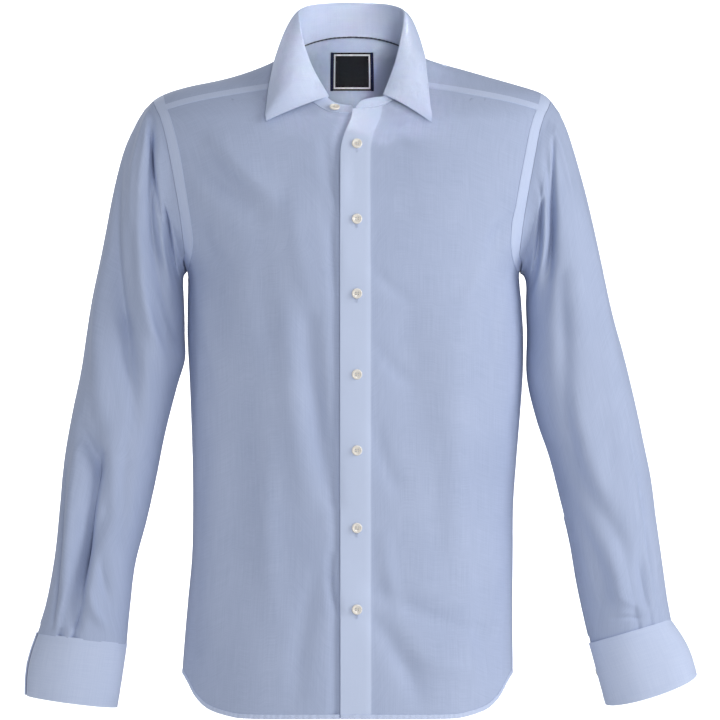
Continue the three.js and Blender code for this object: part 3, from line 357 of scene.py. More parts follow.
def body_points(turn, z, outward=0.0, fine=1.0):
    """Points of the body: turn is 0 at the centre front, +-pi at the centre back, and
    positive on the wearer's left. Outward moves them away from the wearer, and fine is 0
    for the solid's own form, without the cloth's finer folds."""
    turn, z, outward = np.broadcast_arrays(np.asarray(turn, float), np.asarray(z, float), outward)
    turn = np.where(turn > math.pi, turn - 2 * math.pi, turn)
    angle = np.abs(turn)
    at_front = angle <= QUARTER
    half = np.where(turn < 0, read(body_sections, "z", "right", z), read(body_sections, "z", "left", z))
    deep = np.where(at_front, read(body_sections, "z", "front", z), read(body_sections, "z", "back", z))
    power = 2 / BODY_SQUARENESS
    forward = np.abs(np.cos(angle)) ** power * np.where(at_front, -1, 1)
    x = np.sign(turn) * half * np.abs(np.sin(angle)) ** power
    y = deep * forward
    nx, ny = x / half ** 2, y / deep ** 2
    size = np.hypot(nx, ny)
    calm = smooth_step(0.02, 0.5, np.abs(forward))
    shift = np.where(at_front, fold_shift(front_folds, x, z), fold_shift(back_folds, x, z))
    small = np.where(at_front, fold_shift(small_front_folds, x, z), fold_shift(small_back_folds, x, z))
    small = small + np.where(at_front, slack(x, z, 0.7), slack(x, z, 2.9))
    small = SMALL_FOLD_GAIN * small * smooth_step(-60, -95, z)
    shift = (shift * (1 + FOLD_GAIN * fine) + fine * small) * calm + outward
    return np.stack([x + nx / size * shift, y + ny / size * shift, z], axis=-1)


def turn_at(x, z, at_front=True):
    """The turn at which the body's section passes a distance from the centre line."""
    x, z = np.broadcast_arrays(np.asarray(x, float), np.asarray(z, float))
    half = np.where(x < 0, read(body_sections, "z", "right", z), read(body_sections, "z", "left", z))
    angle = np.arcsin(np.minimum(1, np.abs(x) / half) ** (BODY_SQUARENESS / 2))
    return np.where(x < 0, -1, 1) * (angle if at_front else math.pi - angle)


def side_turn(z, side, at_front):
    """The edge of a body panel: the armhole above the armpit, else the side seam."""
    z = np.asarray(z, float)
    x = side * read(armhole_line, "z", "front" if at_front else "back", z)
    turn = np.abs(turn_at(x, z, at_front))
    return turn + (QUARTER - turn) * smooth_step(ARMPIT_Z + 18, ARMPIT_Z, z)


def neck_seam(side):
    """Turn and height of the neck seam, from the centre front to the centre back."""
    line = front_neck_line["left" if side > 0 else "right"]
    turns = np.abs(turn_at(side * np.maximum(line["x"], 0.01), line["z"]))
    turns[RIDGE_ROW] = QUARTER
    return {
        "turn": np.concatenate([turns, np.radians(back_neck_line["turn"])]),
        "z": np.concatenate([line["z"], back_neck_line["z"]]),
    }


neck_seams = {"left": neck_seam(1), "right": neck_seam(-1)}


def grid_normals(grid, wrapped=False):
    """Unit directions square to a grid of points."""
    down = np.gradient(grid, axis=0)
    if wrapped:
        along = np.roll(grid, -1, axis=1) - np.roll(grid, 1, axis=1)
    else:
        along = np.gradient(grid, axis=1)
    normals = np.cross(down, along)
    return normals / np.maximum(np.linalg.norm(normals, axis=-1, keepdims=True), 1e-9)


def moved_out(grid, distance, wrapped=False):
    return grid + grid_normals(grid, wrapped) * distance


def mesh_object(name, points_mm, faces, material, flat=None):
    """A mesh object from points in millimetres. Flat holds the cloth's own coordinates,
    in metres along the weft and the warp, for each point."""
    mesh = bpy.data.meshes.new(name)
    mesh.from_pydata((np.asarray(points_mm) / 1000).tolist(), [], [list(map(int, f)) for f in faces])
    mesh.materials.append(material)
    mesh.polygons.foreach_set("use_smooth", [True] * len(mesh.polygons))
    if flat is not None:
        layer = mesh.uv_layers.new(name="cloth")
        corners = np.empty(len(mesh.loops), dtype=int)
        mesh.loops.foreach_get("vertex_index", corners)
        layer.data.foreach_set("uv", np.asarray(flat, float)[corners].ravel())
    mesh.validate()
    thing = bpy.data.objects.new(name, mesh)
    bpy.context.scene.collection.objects.link(thing)
    return thing


def flat_coordinates(grid, first=None):
    """Distances along the rows and down the columns of a grid, in metres. They start at the
    grid's middle column, or at its first one where first is given."""
    across = np.zeros(grid.shape[:2])
    across[:, 1:] = np.cumsum(np.linalg.norm(np.diff(grid, axis=1), axis=-1), axis=1)
    if first is None:
        across -= across[:, across.shape[1] // 2][:, None]
    down = np.zeros(grid.shape[:2])
    down[1:] = np.cumsum(np.linalg.norm(np.diff(grid, axis=0), axis=-1), axis=0)
    return np.stack([across, down], axis=-1) / 1000


def shell(name, grid, thickness, material, wrapped=False, first=None):
    """A thin closed shell round a grid of middle points, closed at its open edges by flat rims."""
    rows, columns = grid.shape[:2]
    thick = np.broadcast_to(np.asarray(thickness, float), (rows, columns))[..., None] / 2
    normals = grid_normals(grid, wrapped)
    flat = flat_coordinates(grid, first).reshape(-1, 2)
    sides = (grid + normals * thick, grid - normals * thick)
    points = np.concatenate([face.reshape(-1, 3) for face in sides])
    one = rows * columns
    index = np.arange(one).reshape(rows, columns)
    if wrapped:
        index = np.concatenate([index, index[:, :1]], axis=1)
    a, b, c, d = index[:-1, :-1], index[1:, :-1], index[1:, 1:], index[:-1, 1:]
    outer = np.stack([a, b, c, d], axis=-1).reshape(-1, 4)
    inner = np.stack([a, d, c, b], axis=-1).reshape(-1, 4) + one
    edges = [index[0], index[-1][::-1]]
    if not wrapped:
        edges += [index[:, 0][::-1], index[:, -1]]
    rims = [np.stack([e[:-1], e[1:], e[1:] + one, e[:-1] + one], axis=-1) for e in edges]
    faces = np.concatenate([outer, inner, *rims])
    thing = mesh_object(name, points, faces, material, np.concatenate([flat, flat]))
    face_outward(thing)
    return thing


def face_outward(thing):
    """Turns all faces so that they point out of the closed shell."""
    work = bmesh.new()
    work.from_mesh(thing.data)
    bmesh.ops.recalc_face_normals(work, faces=work.faces)
    if work.calc_volume(signed=True) < 0:
        bmesh.ops.reverse_faces(work, faces=work.faces)
    for edge in work.edges:
        edge.smooth = edge.calc_face_angle(0.0) < 1.0
    work.to_mesh(thing.data)
    work.free()


def sewn_piece(thing, node):
    """Hides the solid that a piece stands for, if any. Every
    piece rides on the one body."""
    if node:
        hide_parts(node)
    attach(thing, "root")
    return thing


DRAWN_THREAD_MM = 1.0
FOLDED_SHARE = 0.86


def cotton_poplin(name, light, dark, pressed=0.0, folded=None):
    """Yarn-dyed cotton poplin, woven fine and pressed: a soft even blue whose thicker and
    thinner threads show as faint upright and level streaks, with a silky sheen at the edges.
    The threads are drawn about 1 mm wide, because real ones are too fine to show. Folded is
    the lighter colour of a strip of double cloth along the first edge, where less light
    passes through."""
    material, tree, output = new_material(name)
    place = add_node(tree, "ShaderNodeUVMap", {"uv_map": "cloth"})
    per_metre = 1000 / DRAWN_THREAD_MM
    streaks = []
    for across, along in ((per_metre, per_metre / 45), (per_metre / 30, per_metre)):
        stretch = add_node(
            tree, "ShaderNodeMapping", {"Scale": (across, along, 1.0)}, {"Vector": place.outputs["UV"]})
        streak = add_node(
            tree, "ShaderNodeTexNoise", {"Scale": 1.0, "Detail": 1.5, "Roughness": 0.6},
            {"Vector": stretch.outputs["Vector"]})
        streaks.append(streak)
    cloud_place = add_node(tree, "ShaderNodeTexCoord")
    cloud = add_node(
        tree, "ShaderNodeTexNoise", {"Scale": 9.0, "Detail": 3.0}, {"Vector": cloud_place.outputs["Object"]})
    warp_weft = add_node(
        tree, "ShaderNodeMath", {"operation": "ADD"},
        {0: streaks[0].outputs["Fac"], 1: streaks[1].outputs["Fac"]})
    both = add_node(
        tree, "ShaderNodeMath", {"operation": "ADD"}, {0: warp_weft.outputs[0], 1: cloud.outputs["Fac"]})
    spread = add_node(
        tree, "ShaderNodeMapRange", {"From Min": 1.05, "From Max": 1.95}, {"Value": both.outputs[0]})
    colour = add_node(tree, "ShaderNodeMix", {"data_type": "RGBA"}, {"Factor": spread.outputs["Result"]})
    colour.inputs[6].default_value = srgb(dark)
    colour.inputs[7].default_value = srgb(light)
    weave_scale = add_node(
        tree, "ShaderNodeMapping", {"Scale": (per_metre, per_metre, 1.0)}, {"Vector": place.outputs["UV"]})
    weave = add_node(
        tree, "ShaderNodeTexChecker", {"Scale": 1.0}, {"Vector": weave_scale.outputs["Vector"]})
    relief_sum = add_node(
        tree, "ShaderNodeMath", {"operation": "MULTIPLY_ADD", 1: 0.25},
        {0: weave.outputs["Fac"], 2: warp_weft.outputs[0]})
    bump = add_node(
        tree, "ShaderNodeBump", {"Strength": 0.16 - 0.06 * pressed, "Distance": 0.00025},
        {"Height": relief_sum.outputs[0]})
    shader = add_node(tree, "ShaderNodeBsdfPrincipled", {
        "Roughness": 0.72 - 0.08 * pressed,
        "IOR": 1.47,
        "Specular IOR Level": 0.3,
        "Sheen Weight": 0.14,
        "Sheen Roughness": 0.45,
    })
    shader.inputs["Sheen Tint"].default_value = srgb("#DCE6F8")
    shown = colour
    if folded:
        from_edge = add_node(tree, "ShaderNodeSeparateXYZ", None, {"Vector": place.outputs["UV"]})
        strip = add_node(tree, "ShaderNodeMapRange", {
            "From Min": (PLACKET_WIDTH - 1.5) / 1000,
            "From Max": (PLACKET_WIDTH + 0.5) / 1000,
            "To Min": FOLDED_SHARE,
            "To Max": 0.0,
        }, {"Value": from_edge.outputs["X"]})
        shown = add_node(
            tree, "ShaderNodeMix", {"data_type": "RGBA"},
            {"Factor": strip.outputs["Result"], 6: colour.outputs[2]})
        shown.inputs[7].default_value = srgb(folded)
    tree.links.new(shown.outputs[2], shader.inputs["Base Color"])
    tree.links.new(bump.outputs["Normal"], shader.inputs["Normal"])
    finish_material(tree, output, shader)
    return material


poplin = cotton_poplin("cotton_poplin", "#B4C0DC", "#A4B1CF")
poplin_doubled = cotton_poplin("cotton_poplin_doubled", "#C8D3ED", "#BCC9E6", pressed=0.5)
poplin_over_front = cotton_poplin("cotton_poplin_over_front", "#B4C0DC", "#A4B1CF", folded="#C8D4EE")

YOKE_SEAM_ARMHOLE_Z = -55
SIDE_SEAM_TURN = QUARTER - 0.0012


def front_top(turn, side):
    """Height of a front's upper edge: the neck seam, then the yoke's front seam."""
    seam = neck_seams["left" if side > 0 else "right"]
    corner_turn, corner_z = seam["turn"][YOKE_CORNER_ROW], seam["z"][YOKE_CORNER_ROW]
    armhole_turn = float(side_turn(YOKE_SEAM_ARMHOLE_Z, side, True))
    neck = {name: column[:YOKE_CORNER_ROW + 1] for name, column in seam.items()}
    share = np.clip((turn - corner_turn) / (armhole_turn - corner_turn), 0, 1)
    on_yoke = corner_z + (YOKE_SEAM_ARMHOLE_Z - corner_z) * share
    return np.where(turn <= corner_turn, read(neck, "turn", "z", np.maximum(turn, 0)), on_yoke)


over_edge_line = table("z x", [(-50, 1), (-62, -1), (-74, -6.5), (-86, -10.5), (-100, -12.5), (-720, -12.5)])


def over_edge(z):
    return read(over_edge_line, "z", "x", z)


def hem_height(turn_from_front):
    return read(hem_line, "turn", "z", np.degrees(turn_from_front))


def front_panel(side, edge, shares, downs, move):
    """The grid of one front, from its centre edge to the armhole and the side seam."""
    def turn_for(share, z):
        inner = side * turn_at(edge(z), z)
        outer = np.minimum(side_turn(z, side, True), SIDE_SEAM_TURN)
        return inner + (outer - inner) * share

    shares = np.asarray(shares)[None, :]
    downs = np.asarray(downs)[:, None]
    top = np.full(shares.shape, -50.0)
    for _ in range(40):
        top = (top + front_top(np.maximum(0, turn_for(shares, top)), side) - SEAM_GAP) / 2
    bottom = hem_height(np.abs(turn_for(shares, np.full(shares.shape, -717.0))))
    z = top + (bottom - top) * downs
    turn = side * turn_for(shares, z)
    flat = body_points(turn, z, 0.0)
    return body_points(turn, z, move(flat[..., 0], z))


HEM_TURN = 5.0
FELL_THICKNESS = 0.5
FELL_LIFT = 0.62


def turned_hem(name, first_turn, last_turn, columns, outward_at=lambda x, z: 0 * x):
    """A panel's hem: the raw edge is turned twice and stitched, so it shows as a narrow
    lighter roll that puckers a little and comes to a point at each side seam."""
    turns = np.linspace(first_turn, last_turn, columns)[None, :]
    angle = np.where(turns > math.pi, 2 * math.pi - turns, np.abs(turns))
    bottom = hem_height(np.where(angle <= QUARTER, angle, math.pi - angle))
    up = np.linspace(0, 1, 6)[:, None]
    z = bottom - 0.3 + HEM_TURN * up
    pucker = 0.16 * np.sin(turns * 160) + 0.1 * np.sin(turns * 97 + 1)
    turns = np.broadcast_to(turns, z.shape)
    lift = FELL_LIFT + 0.25 * np.sin(math.pi * up) + pucker + outward_at(body_points(turns, z)[..., 0], z)
    hem = shell(name, body_points(turns, z, lift), FELL_THICKNESS, poplin_doubled)
    return sewn_piece(hem, None)


def folded_edge(x, z):
    """Half of what the folded-back front edge adds to the panel, fading at its soft side."""
    return 0.5 * (1 - smooth_step(PLACKET_WIDTH - 5, PLACKET_WIDTH + 1, x - over_edge(z)))


def gape(x, z):
    """Between buttons the lapping edge lifts slightly off the panel below."""
    near_edge = 1 - smooth_step(2, 15, x - over_edge(z))
    first = 2.4 * np.exp(-((z + 128) / 26) ** 2)
    rest = 0.5 * np.cos((z + 171.6) / 84.8 * 2 * math.pi)
    return near_edge * (first - rest * 0.5 * smooth_step(-120, -200, z))


panel_downs = np.linspace(0, 1, 210)
over_shares = np.concatenate([np.linspace(0, 0.2, 24)[:-1], np.linspace(0.2, 1, 66)])
front_left_grid = front_panel(
    1, over_edge, over_shares, panel_downs, lambda x, z: folded_edge(x, z) + gape(x, z) - SKIN_DROP)
front_left_thickness = CLOTH + 2 * folded_edge(front_left_grid[..., 0], front_left_grid[..., 2])
front_left_cloth = shell(
    "front_left_cloth", front_left_grid, front_left_thickness, poplin_over_front, first=0)
sewn_piece(front_left_cloth, "front_left")
over_start = float(turn_at(over_edge(-717.0), -717.0))
front_left_hem = turned_hem(
    "front_left_hem", over_start + 0.002, SIDE_SEAM_TURN, 260, lambda x, z: 2 * folded_edge(x, z))


def under_lap(x, z):
    return -LAP_INSET * smooth_step(-16, -3, x - over_edge(z))


front_right_grid = front_panel(
    -1, lambda z: np.full(np.shape(z), float(UNDER_LAP)), np.linspace(0, 1, 90), panel_downs, under_lap)
front_right_cloth = shell("front_right_cloth", front_right_grid, CLOTH, poplin)
sewn_piece(front_right_cloth, "front_right")
front_right_hem = turned_hem("front_right_hem", -SIDE_SEAM_TURN, over_start - 0.004, 260)

# The back: one panel of the same poplin from the yoke's back seam to the hem.
# It is sewn to the fronts down both sides.
BACK_SEAM_CENTRE_Z = -74
BACK_SEAM_ARMHOLE_Z = -92


def back_seam(share):
    return BACK_SEAM_CENTRE_Z + (BACK_SEAM_ARMHOLE_Z - BACK_SEAM_CENTRE_Z) * share ** 2


back_places = np.linspace(-1, 1, 141)[None, :]
back_share = np.abs(back_places)
back_top = back_seam(back_share) - SEAM_GAP
back_bottom = hem_height(np.radians(np.minimum(90, 90 * back_share)))
back_z = back_top + (back_bottom - back_top) * np.linspace(0, 1, 170)[:, None]
back_side = np.where(back_places < 0, -1, 1)
back_armhole = np.where(back_side < 0, side_turn(back_z, -1, False), side_turn(back_z, 1, False))
back_turn = back_side * (math.pi - np.minimum(math.pi - back_armhole, SIDE_SEAM_TURN) * back_share)
back_grid = body_points(back_turn, back_z)
back_cloth = shell("back_cloth", back_grid, CLOTH, poplin)
sewn_piece(back_cloth, "back")
back_hem = turned_hem("back_hem", QUARTER + 0.002, 2 * math.pi - QUARTER - 0.002, 420)

# The yoke lies over both shoulders, with a second one sewn inside it that shows in the neck.
# Both are the same poplin, and their front seams are felled and edge stitched.
YOKE_NECK_SHARE = 10 / 17
LINING_GAP = 0.5


def yoke_grid():
    lines = []
    shares = np.linspace(0, 1, 61)
    outs = np.linspace(0, 1, 34) ** 1.15
    for side, name in ((-1, "right"), (1, "left")):
        seam = {key: column[YOKE_CORNER_ROW:] for key, column in neck_seams[name].items()}
        places = shares * (len(seam["z"]) - 1)
        steps = np.arange(len(seam["z"]))
        neck_turn = np.interp(places, steps, seam["turn"])
        neck_z = np.interp(places, steps, seam["z"])
        round_it = np.clip(shares / YOKE_NECK_SHARE, 0, 1) * 2
        drop = np.abs(round_it - 1) ** 1.8
        foot = np.where(round_it < 1, YOKE_SEAM_ARMHOLE_Z, BACK_SEAM_ARMHOLE_Z)
        edge_z = SHOULDER_TIP_Z + (foot - SHOULDER_TIP_Z) * drop
        edge_turn = np.where(round_it < 1, side_turn(edge_z, side, True), side_turn(edge_z, side, False))
        seam_share = 1 - (shares - YOKE_NECK_SHARE) / (1 - YOKE_NECK_SHARE)
        seam_z = back_seam(seam_share)
        seam_turn = math.pi - (math.pi - side_turn(seam_z, side, False)) * seam_share
        past = shares > YOKE_NECK_SHARE
        edge_z = np.where(past, seam_z, edge_z)
        edge_turn = np.where(past, seam_turn, edge_turn)
        turn = neck_turn[:, None] + (edge_turn - neck_turn)[:, None] * outs[None, :]
        z = neck_z[:, None] + (edge_z - neck_z)[:, None] * outs[None, :]
        half = body_points(side * np.minimum(turn, math.pi), z)
        lines.append(half if side < 0 else half[::-1][1:])
    return np.concatenate(lines)


yoke_points = yoke_grid()
yoke_cloth = shell("yoke_cloth", yoke_points, CLOTH, poplin)
sewn_piece(yoke_cloth, "yoke")
yoke_lining_points = moved_out(yoke_points, -1.2 - LINING_GAP)
yoke_inner_cloth = shell("yoke_inner_cloth", yoke_lining_points, CLOTH, poplin_doubled)
sewn_piece(yoke_inner_cloth, "yoke_inner")

# Felled seams: where a sleeve or a yoke edge is sewn down, the turned edge lies flat under a
# row of stitches. It is three layers thick there, so the band stands proud and looks lighter.
FELL_WIDTH = 11.0
YOKE_FELL_WIDTH = 7.2
STITCH_PITCH = 2.6
STITCH_LENGTH = 1.9
STITCH_RADIUS = 0.16

def two_tone(name, texture, settings, dark, light, finish, relief=0.0, placed=True):
    """A fibre whose fine texture runs between two shades, and can stand in relief. They are the fibre's own
    colours, but on the navy cord the lighter one is a painted highlight.
    """
    material, tree, output = new_material(name)
    links = {}
    if placed:
        links["Vector"] = add_node(tree, "ShaderNodeTexCoord").outputs["Object"]
    fibres = add_node(tree, texture, settings, links)
    colour = add_node(tree, "ShaderNodeMix", {"data_type": "RGBA"}, {"Factor": fibres.outputs["Fac"]})
    colour.inputs[6].default_value = srgb(dark)
    colour.inputs[7].default_value = srgb(light)
    shader = add_node(tree, "ShaderNodeBsdfPrincipled", finish, {"Base Color": colour.outputs[2]})
    if relief:
        bump = add_node(
            tree, "ShaderNodeBump", {"Strength": relief, "Distance": 0.0002},
            {"Height": fibres.outputs["Fac"]})
        tree.links.new(bump.outputs["Normal"], shader.inputs["Normal"])
    finish_material(tree, output, shader)
    return material


# Mercerised sewing cotton: slightly glossy, a shade lighter than the cloth, so a row of it
# reads as a fine broken line.
THREAD_FINISH = {"Roughness": 0.5, "Sheen Weight": 0.2}
cotton_thread = two_tone(
    "cotton_sewing_thread", "ShaderNodeTexNoise", {"Scale": 900.0, "Detail": 1.0}, "#A9B8D8", "#C6D2EC",
    THREAD_FINISH, placed=False)


def at_length(middle, travelled, line):
    return np.array([np.interp(middle, travelled, line[:, k]) for k in range(3)])


def stitch_row(name, line, outward):
    """A row of lockstitches along a line of points, each a small rounded bar half sunk in
    the cloth. Outward holds the direction the cloth faces at each point."""
    line, outward = np.asarray(line, float), np.asarray(outward, float)
    steps = np.linalg.norm(np.diff(line, axis=0), axis=1)
    travelled = np.concatenate([[0], np.cumsum(steps)])
    count = max(1, int(travelled[-1] / STITCH_PITCH))
    middles = (np.arange(count) + 0.5) * travelled[-1] / count
    sections = np.array([-0.5, -0.28, 0.28, 0.5])
    heights = np.array([0.0, 1.0, 1.0, 0.0])
    ring = np.radians([-60, 0, 60, 120, 180, 240])
    points, faces = [], []
    for middle in middles:
        here, up = at_length(middle, travelled, line), at_length(middle, travelled, outward)
        ahead, behind = (at_length(middle + step, travelled, line) for step in (0.5, -0.5))
        forward = ahead - behind
        forward /= max(np.linalg.norm(forward), 1e-9)
        up -= forward * up.dot(forward)
        up /= max(np.linalg.norm(up), 1e-9)
        aside = np.cross(forward, up)
        base = len(points)
        for place, height in zip(sections, heights):
            centre = here + forward * place * STITCH_LENGTH + up * STITCH_RADIUS * (height - 0.4)
            width = STITCH_RADIUS * (0.5 + 0.5 * height)
            points += [centre + width * (math.cos(a) * up + math.sin(a) * aside) for a in ring]
        size = len(ring)
        for k in range(len(sections) - 1):
            for j in range(size):
                a, b = base + k * size + j, base + k * size + (j + 1) % size
                faces.append((a, b, b + size, a + size))
        faces.append(tuple(base + j for j in reversed(range(size))))
        last = base + (len(sections) - 1) * size
        faces.append(tuple(last + j for j in range(size)))
    thing = mesh_object(name, points, faces, cotton_thread)
    return sewn_piece(thing, None)


STITCH_INSET = 1.2


def fell_stitches(name, grid, rows):
    """Stitch rows near chosen edges of a band: rows lists which of its two long edges."""
    normals = grid_normals(grid)
    if facing(grid, normals) < 0:
        normals = -normals
    for k, edge in enumerate(rows):
        width = np.linalg.norm(grid[:, -1] - grid[:, 0], axis=-1)
        share = np.clip(STITCH_INSET / np.maximum(width, STITCH_INSET * 2.2), 0, 0.45)
        share = share if edge == 0 else 1 - share
        line = grid[:, 0] * (1 - share)[:, None] + grid[:, -1] * share[:, None]
        middle = normals[:, normals.shape[1] // 2]
        stitch_row(f"{name}_{k + 1}", line + middle * (FELL_THICKNESS / 2 + 0.05), middle)


def facing(grid, normals):
    """Positive when the normals point away from the wearer's upright middle line."""
    middle = np.array([0.0, 0.0, grid[..., 2].mean()])
    return float(((grid - middle) * normals).sum(axis=-1).mean())


def armhole_band(side):
    """The felled band on the body side of one armhole, from the shoulder tip right round."""
    turn_round = np.linspace(-math.pi + 0.02, math.pi - 0.02, 130)
    at_front = turn_round >= 0
    drop = (1 - np.cos(turn_round)) / 2
    z = SHOULDER_TIP_Z + (ARMPIT_Z - SHOULDER_TIP_Z) * drop
    edge = np.where(at_front, side_turn(z, side, True), side_turn(z, side, False))
    reach = np.where(at_front, read(armhole_line, "z", "front", z), read(armhole_line, "z", "back", z))
    width = FELL_WIDTH * (1 - 0.97 * smooth_step(2.2, math.pi - 0.05, np.abs(turn_round)))
    lift = 8.5 * np.exp(-(turn_round / 0.4) ** 2)
    inner_x = side * (reach - width)
    inner_z = z + lift
    inner = np.where(
        at_front, np.abs(turn_at(inner_x, inner_z, True)), np.abs(turn_at(inner_x, inner_z, False)))
    shares = np.linspace(0.02, 1, 7)[None, :]
    turn = edge[:, None] + (inner - edge)[:, None] * shares
    height = z[:, None] + (inner_z - z)[:, None] * shares
    crown = FELL_LIFT + 0.18 * np.sin(math.pi * shares)
    return body_points(side * turn, height, crown)


def yoke_front_band(side):
    """The yoke's felled front edge, just above the seam that joins it to the front."""
    seam = neck_seams["left" if side > 0 else "right"]
    corner_turn, corner_z = seam["turn"][YOKE_CORNER_ROW], seam["z"][YOKE_CORNER_ROW]
    armhole_turn = float(side_turn(YOKE_SEAM_ARMHOLE_Z, side, True))
    along = np.linspace(0, 1, 60)[:, None]
    turn = corner_turn + (armhole_turn - corner_turn) * along
    z = corner_z + (YOKE_SEAM_ARMHOLE_Z - corner_z) * along
    up = np.linspace(0.0, 1, 6)[None, :]
    away = YOKE_FELL_WIDTH * up
    height = z + 0.86 * away
    start = body_points(side * turn, z)[..., 0]
    crown = FELL_LIFT + 0.12 * np.sin(math.pi * up)
    return body_points(turn_at(start + side * 0.2 * away, height), height, crown)


def side_seam_band(side):
    """The felled side seam, turned towards the back."""
    z = np.linspace(ARMPIT_Z - 8, -664, 110)[:, None]
    spread = np.linspace(-0.004, 0.085, 6)[None, :]
    return body_points(side * (QUARTER + spread), z + 0 * spread, FELL_LIFT)


for side, name in ((1, "left"), (-1, "right")):
    for label, grid, rows in (
        ("armhole_fell", armhole_band(side), (0, 1)),
        ("yoke_front_fell", yoke_front_band(side), (0,)),
        ("side_seam_fell", side_seam_band(side), (0, 1)),
    ):
        band = shell(f"{label}_{name}", grid, FELL_THICKNESS, poplin_doubled)
        sewn_piece(band, None)
        fell_stitches(f"{label}_{name}_stitches", grid, rows)

# The sleeves: each is one piece of the same poplin, seamed under the arm and set into the
# armhole. Its width is taken up in two small pleats where it meets the cuff.
SLEEVE_SET_OUT = 0.7
RING_SPACING = 45
GIRTH_FACTOR = 3.3
RING_COLUMNS = "step out_x out_z in_x in_z deep forward"
sleeve_rings = {
    "left": table(RING_COLUMNS, [
        (1, 228, -54, 185.5, -230.5, 62, 0),
        (2, 238, -78, 188.5, -232.5, 62, 0),
        (3, 251, -122, 191, -238, 62, 0),
        (4, 262, -165, 192, -248, 62, 0),
        (5, 274, -219, 191.5, -265, 61.5, 1),
        (6, 286, -275, 192.5, -298, 61, 2),
        (7, 299, -323, 192.5, -345, 60, 4),
        (8, 310, -369, 203, -391, 58, 6),
        (9, 319, -410, 217, -432, 56, 8),
        (10, 328, -455, 229, -479, 54, 10),
        (11, 334, -501, 240, -525, 51, 12),
        (12, 340, -545, 247.5, -569, 48, 14),
        (13, 346, -587, 256, -609, 44, 15),
        (14, 350.5, -611, 262.5, -637, 37, 16),
    ]),
    "right": table(RING_COLUMNS, [
        (1, 228, -51, 183.5, -230.5, 62, 0),
        (2, 237, -66, 185, -232.5, 62, 0),
        (3, 251, -98, 186, -239, 62, 0),
        (4, 263, -146, 185.5, -252, 62, 0),
        (5, 275, -209, 184.5, -275, 61.5, 1),
        (6, 285.5, -260, 184.2, -300, 61, 2),
        (7, 292, -301, 184, -325, 60, 4),
        (8, 298, -340, 193, -356, 58, 6),
        (9, 308, -389, 206, -407, 56, 8),
        (10, 315.5, -434, 215.5, -455, 54, 10),
        (11, 320, -485, 226, -502, 51, 12),
        (12, 325, -540, 238.5, -550, 48, 14),
        (13, 334, -590, 244.5, -600, 44, 15),
        (14, 345, -626, 248, -638, 37, 16),
    ]),
}
# Folds here count rings from the armhole (x) and degrees round the sleeve (z), 0 on the
# outer edge, 90 at the front, 180 on the inner edge and 270 behind.
sleeve_folds = {
    "left": table(FOLD_COLUMNS, [
        (0.6, 66, 5.4, 128, 12, -6, 0, 0),
        (1.5, 96, 4.6, 158, 11, -5.5, 0, 0),
        (1.2, 80, 4.6, 142, 10, 3, 0, 0),
        (5.5, 66, 9.6, 84, 17, -4.5, 0, 0),
        (6.5, 110, 11.2, 96, 15, 4, 0, 0),
        (9.6, 118, 12, 72, 13, -5, 0, 0),
        (11.4, 50, 13, 66, 10, -4, 0, 0),
        (1.2, 290, 5.2, 226, 14, -6, 0, 0),
        (5.4, 262, 9.8, 282, 17, 4.5, 0, 0),
        (8.2, 238, 12.4, 264, 14, -5, 0, 0),
    ]),
    "right": table(FOLD_COLUMNS, [
        (0.4, 46, 4.8, 116, 12, -6.5, 0, 0),
        (0.7, 30, 4.2, 78, 12, 4, 0, 0),
        (1.6, 106, 4.4, 166, 11, -6, 0, 0),
        (4.6, 62, 8.6, 86, 15, -5, 0, 0),
        (4.4, 92, 8.2, 112, 14, 4, 0, 0),
        (8.8, 52, 11, 92, 13, -6, 0, 0),
        (11, 92, 12.8, 56, 12, -5.5, 0, 0),
        (1.2, 286, 5.2, 232, 14, -6, 0, 0),
        (4.8, 266, 9.2, 252, 16, 4.5, 0, 0),
        (7.6, 296, 12.2, 264, 14, -5, 0, 0),
    ]),
}
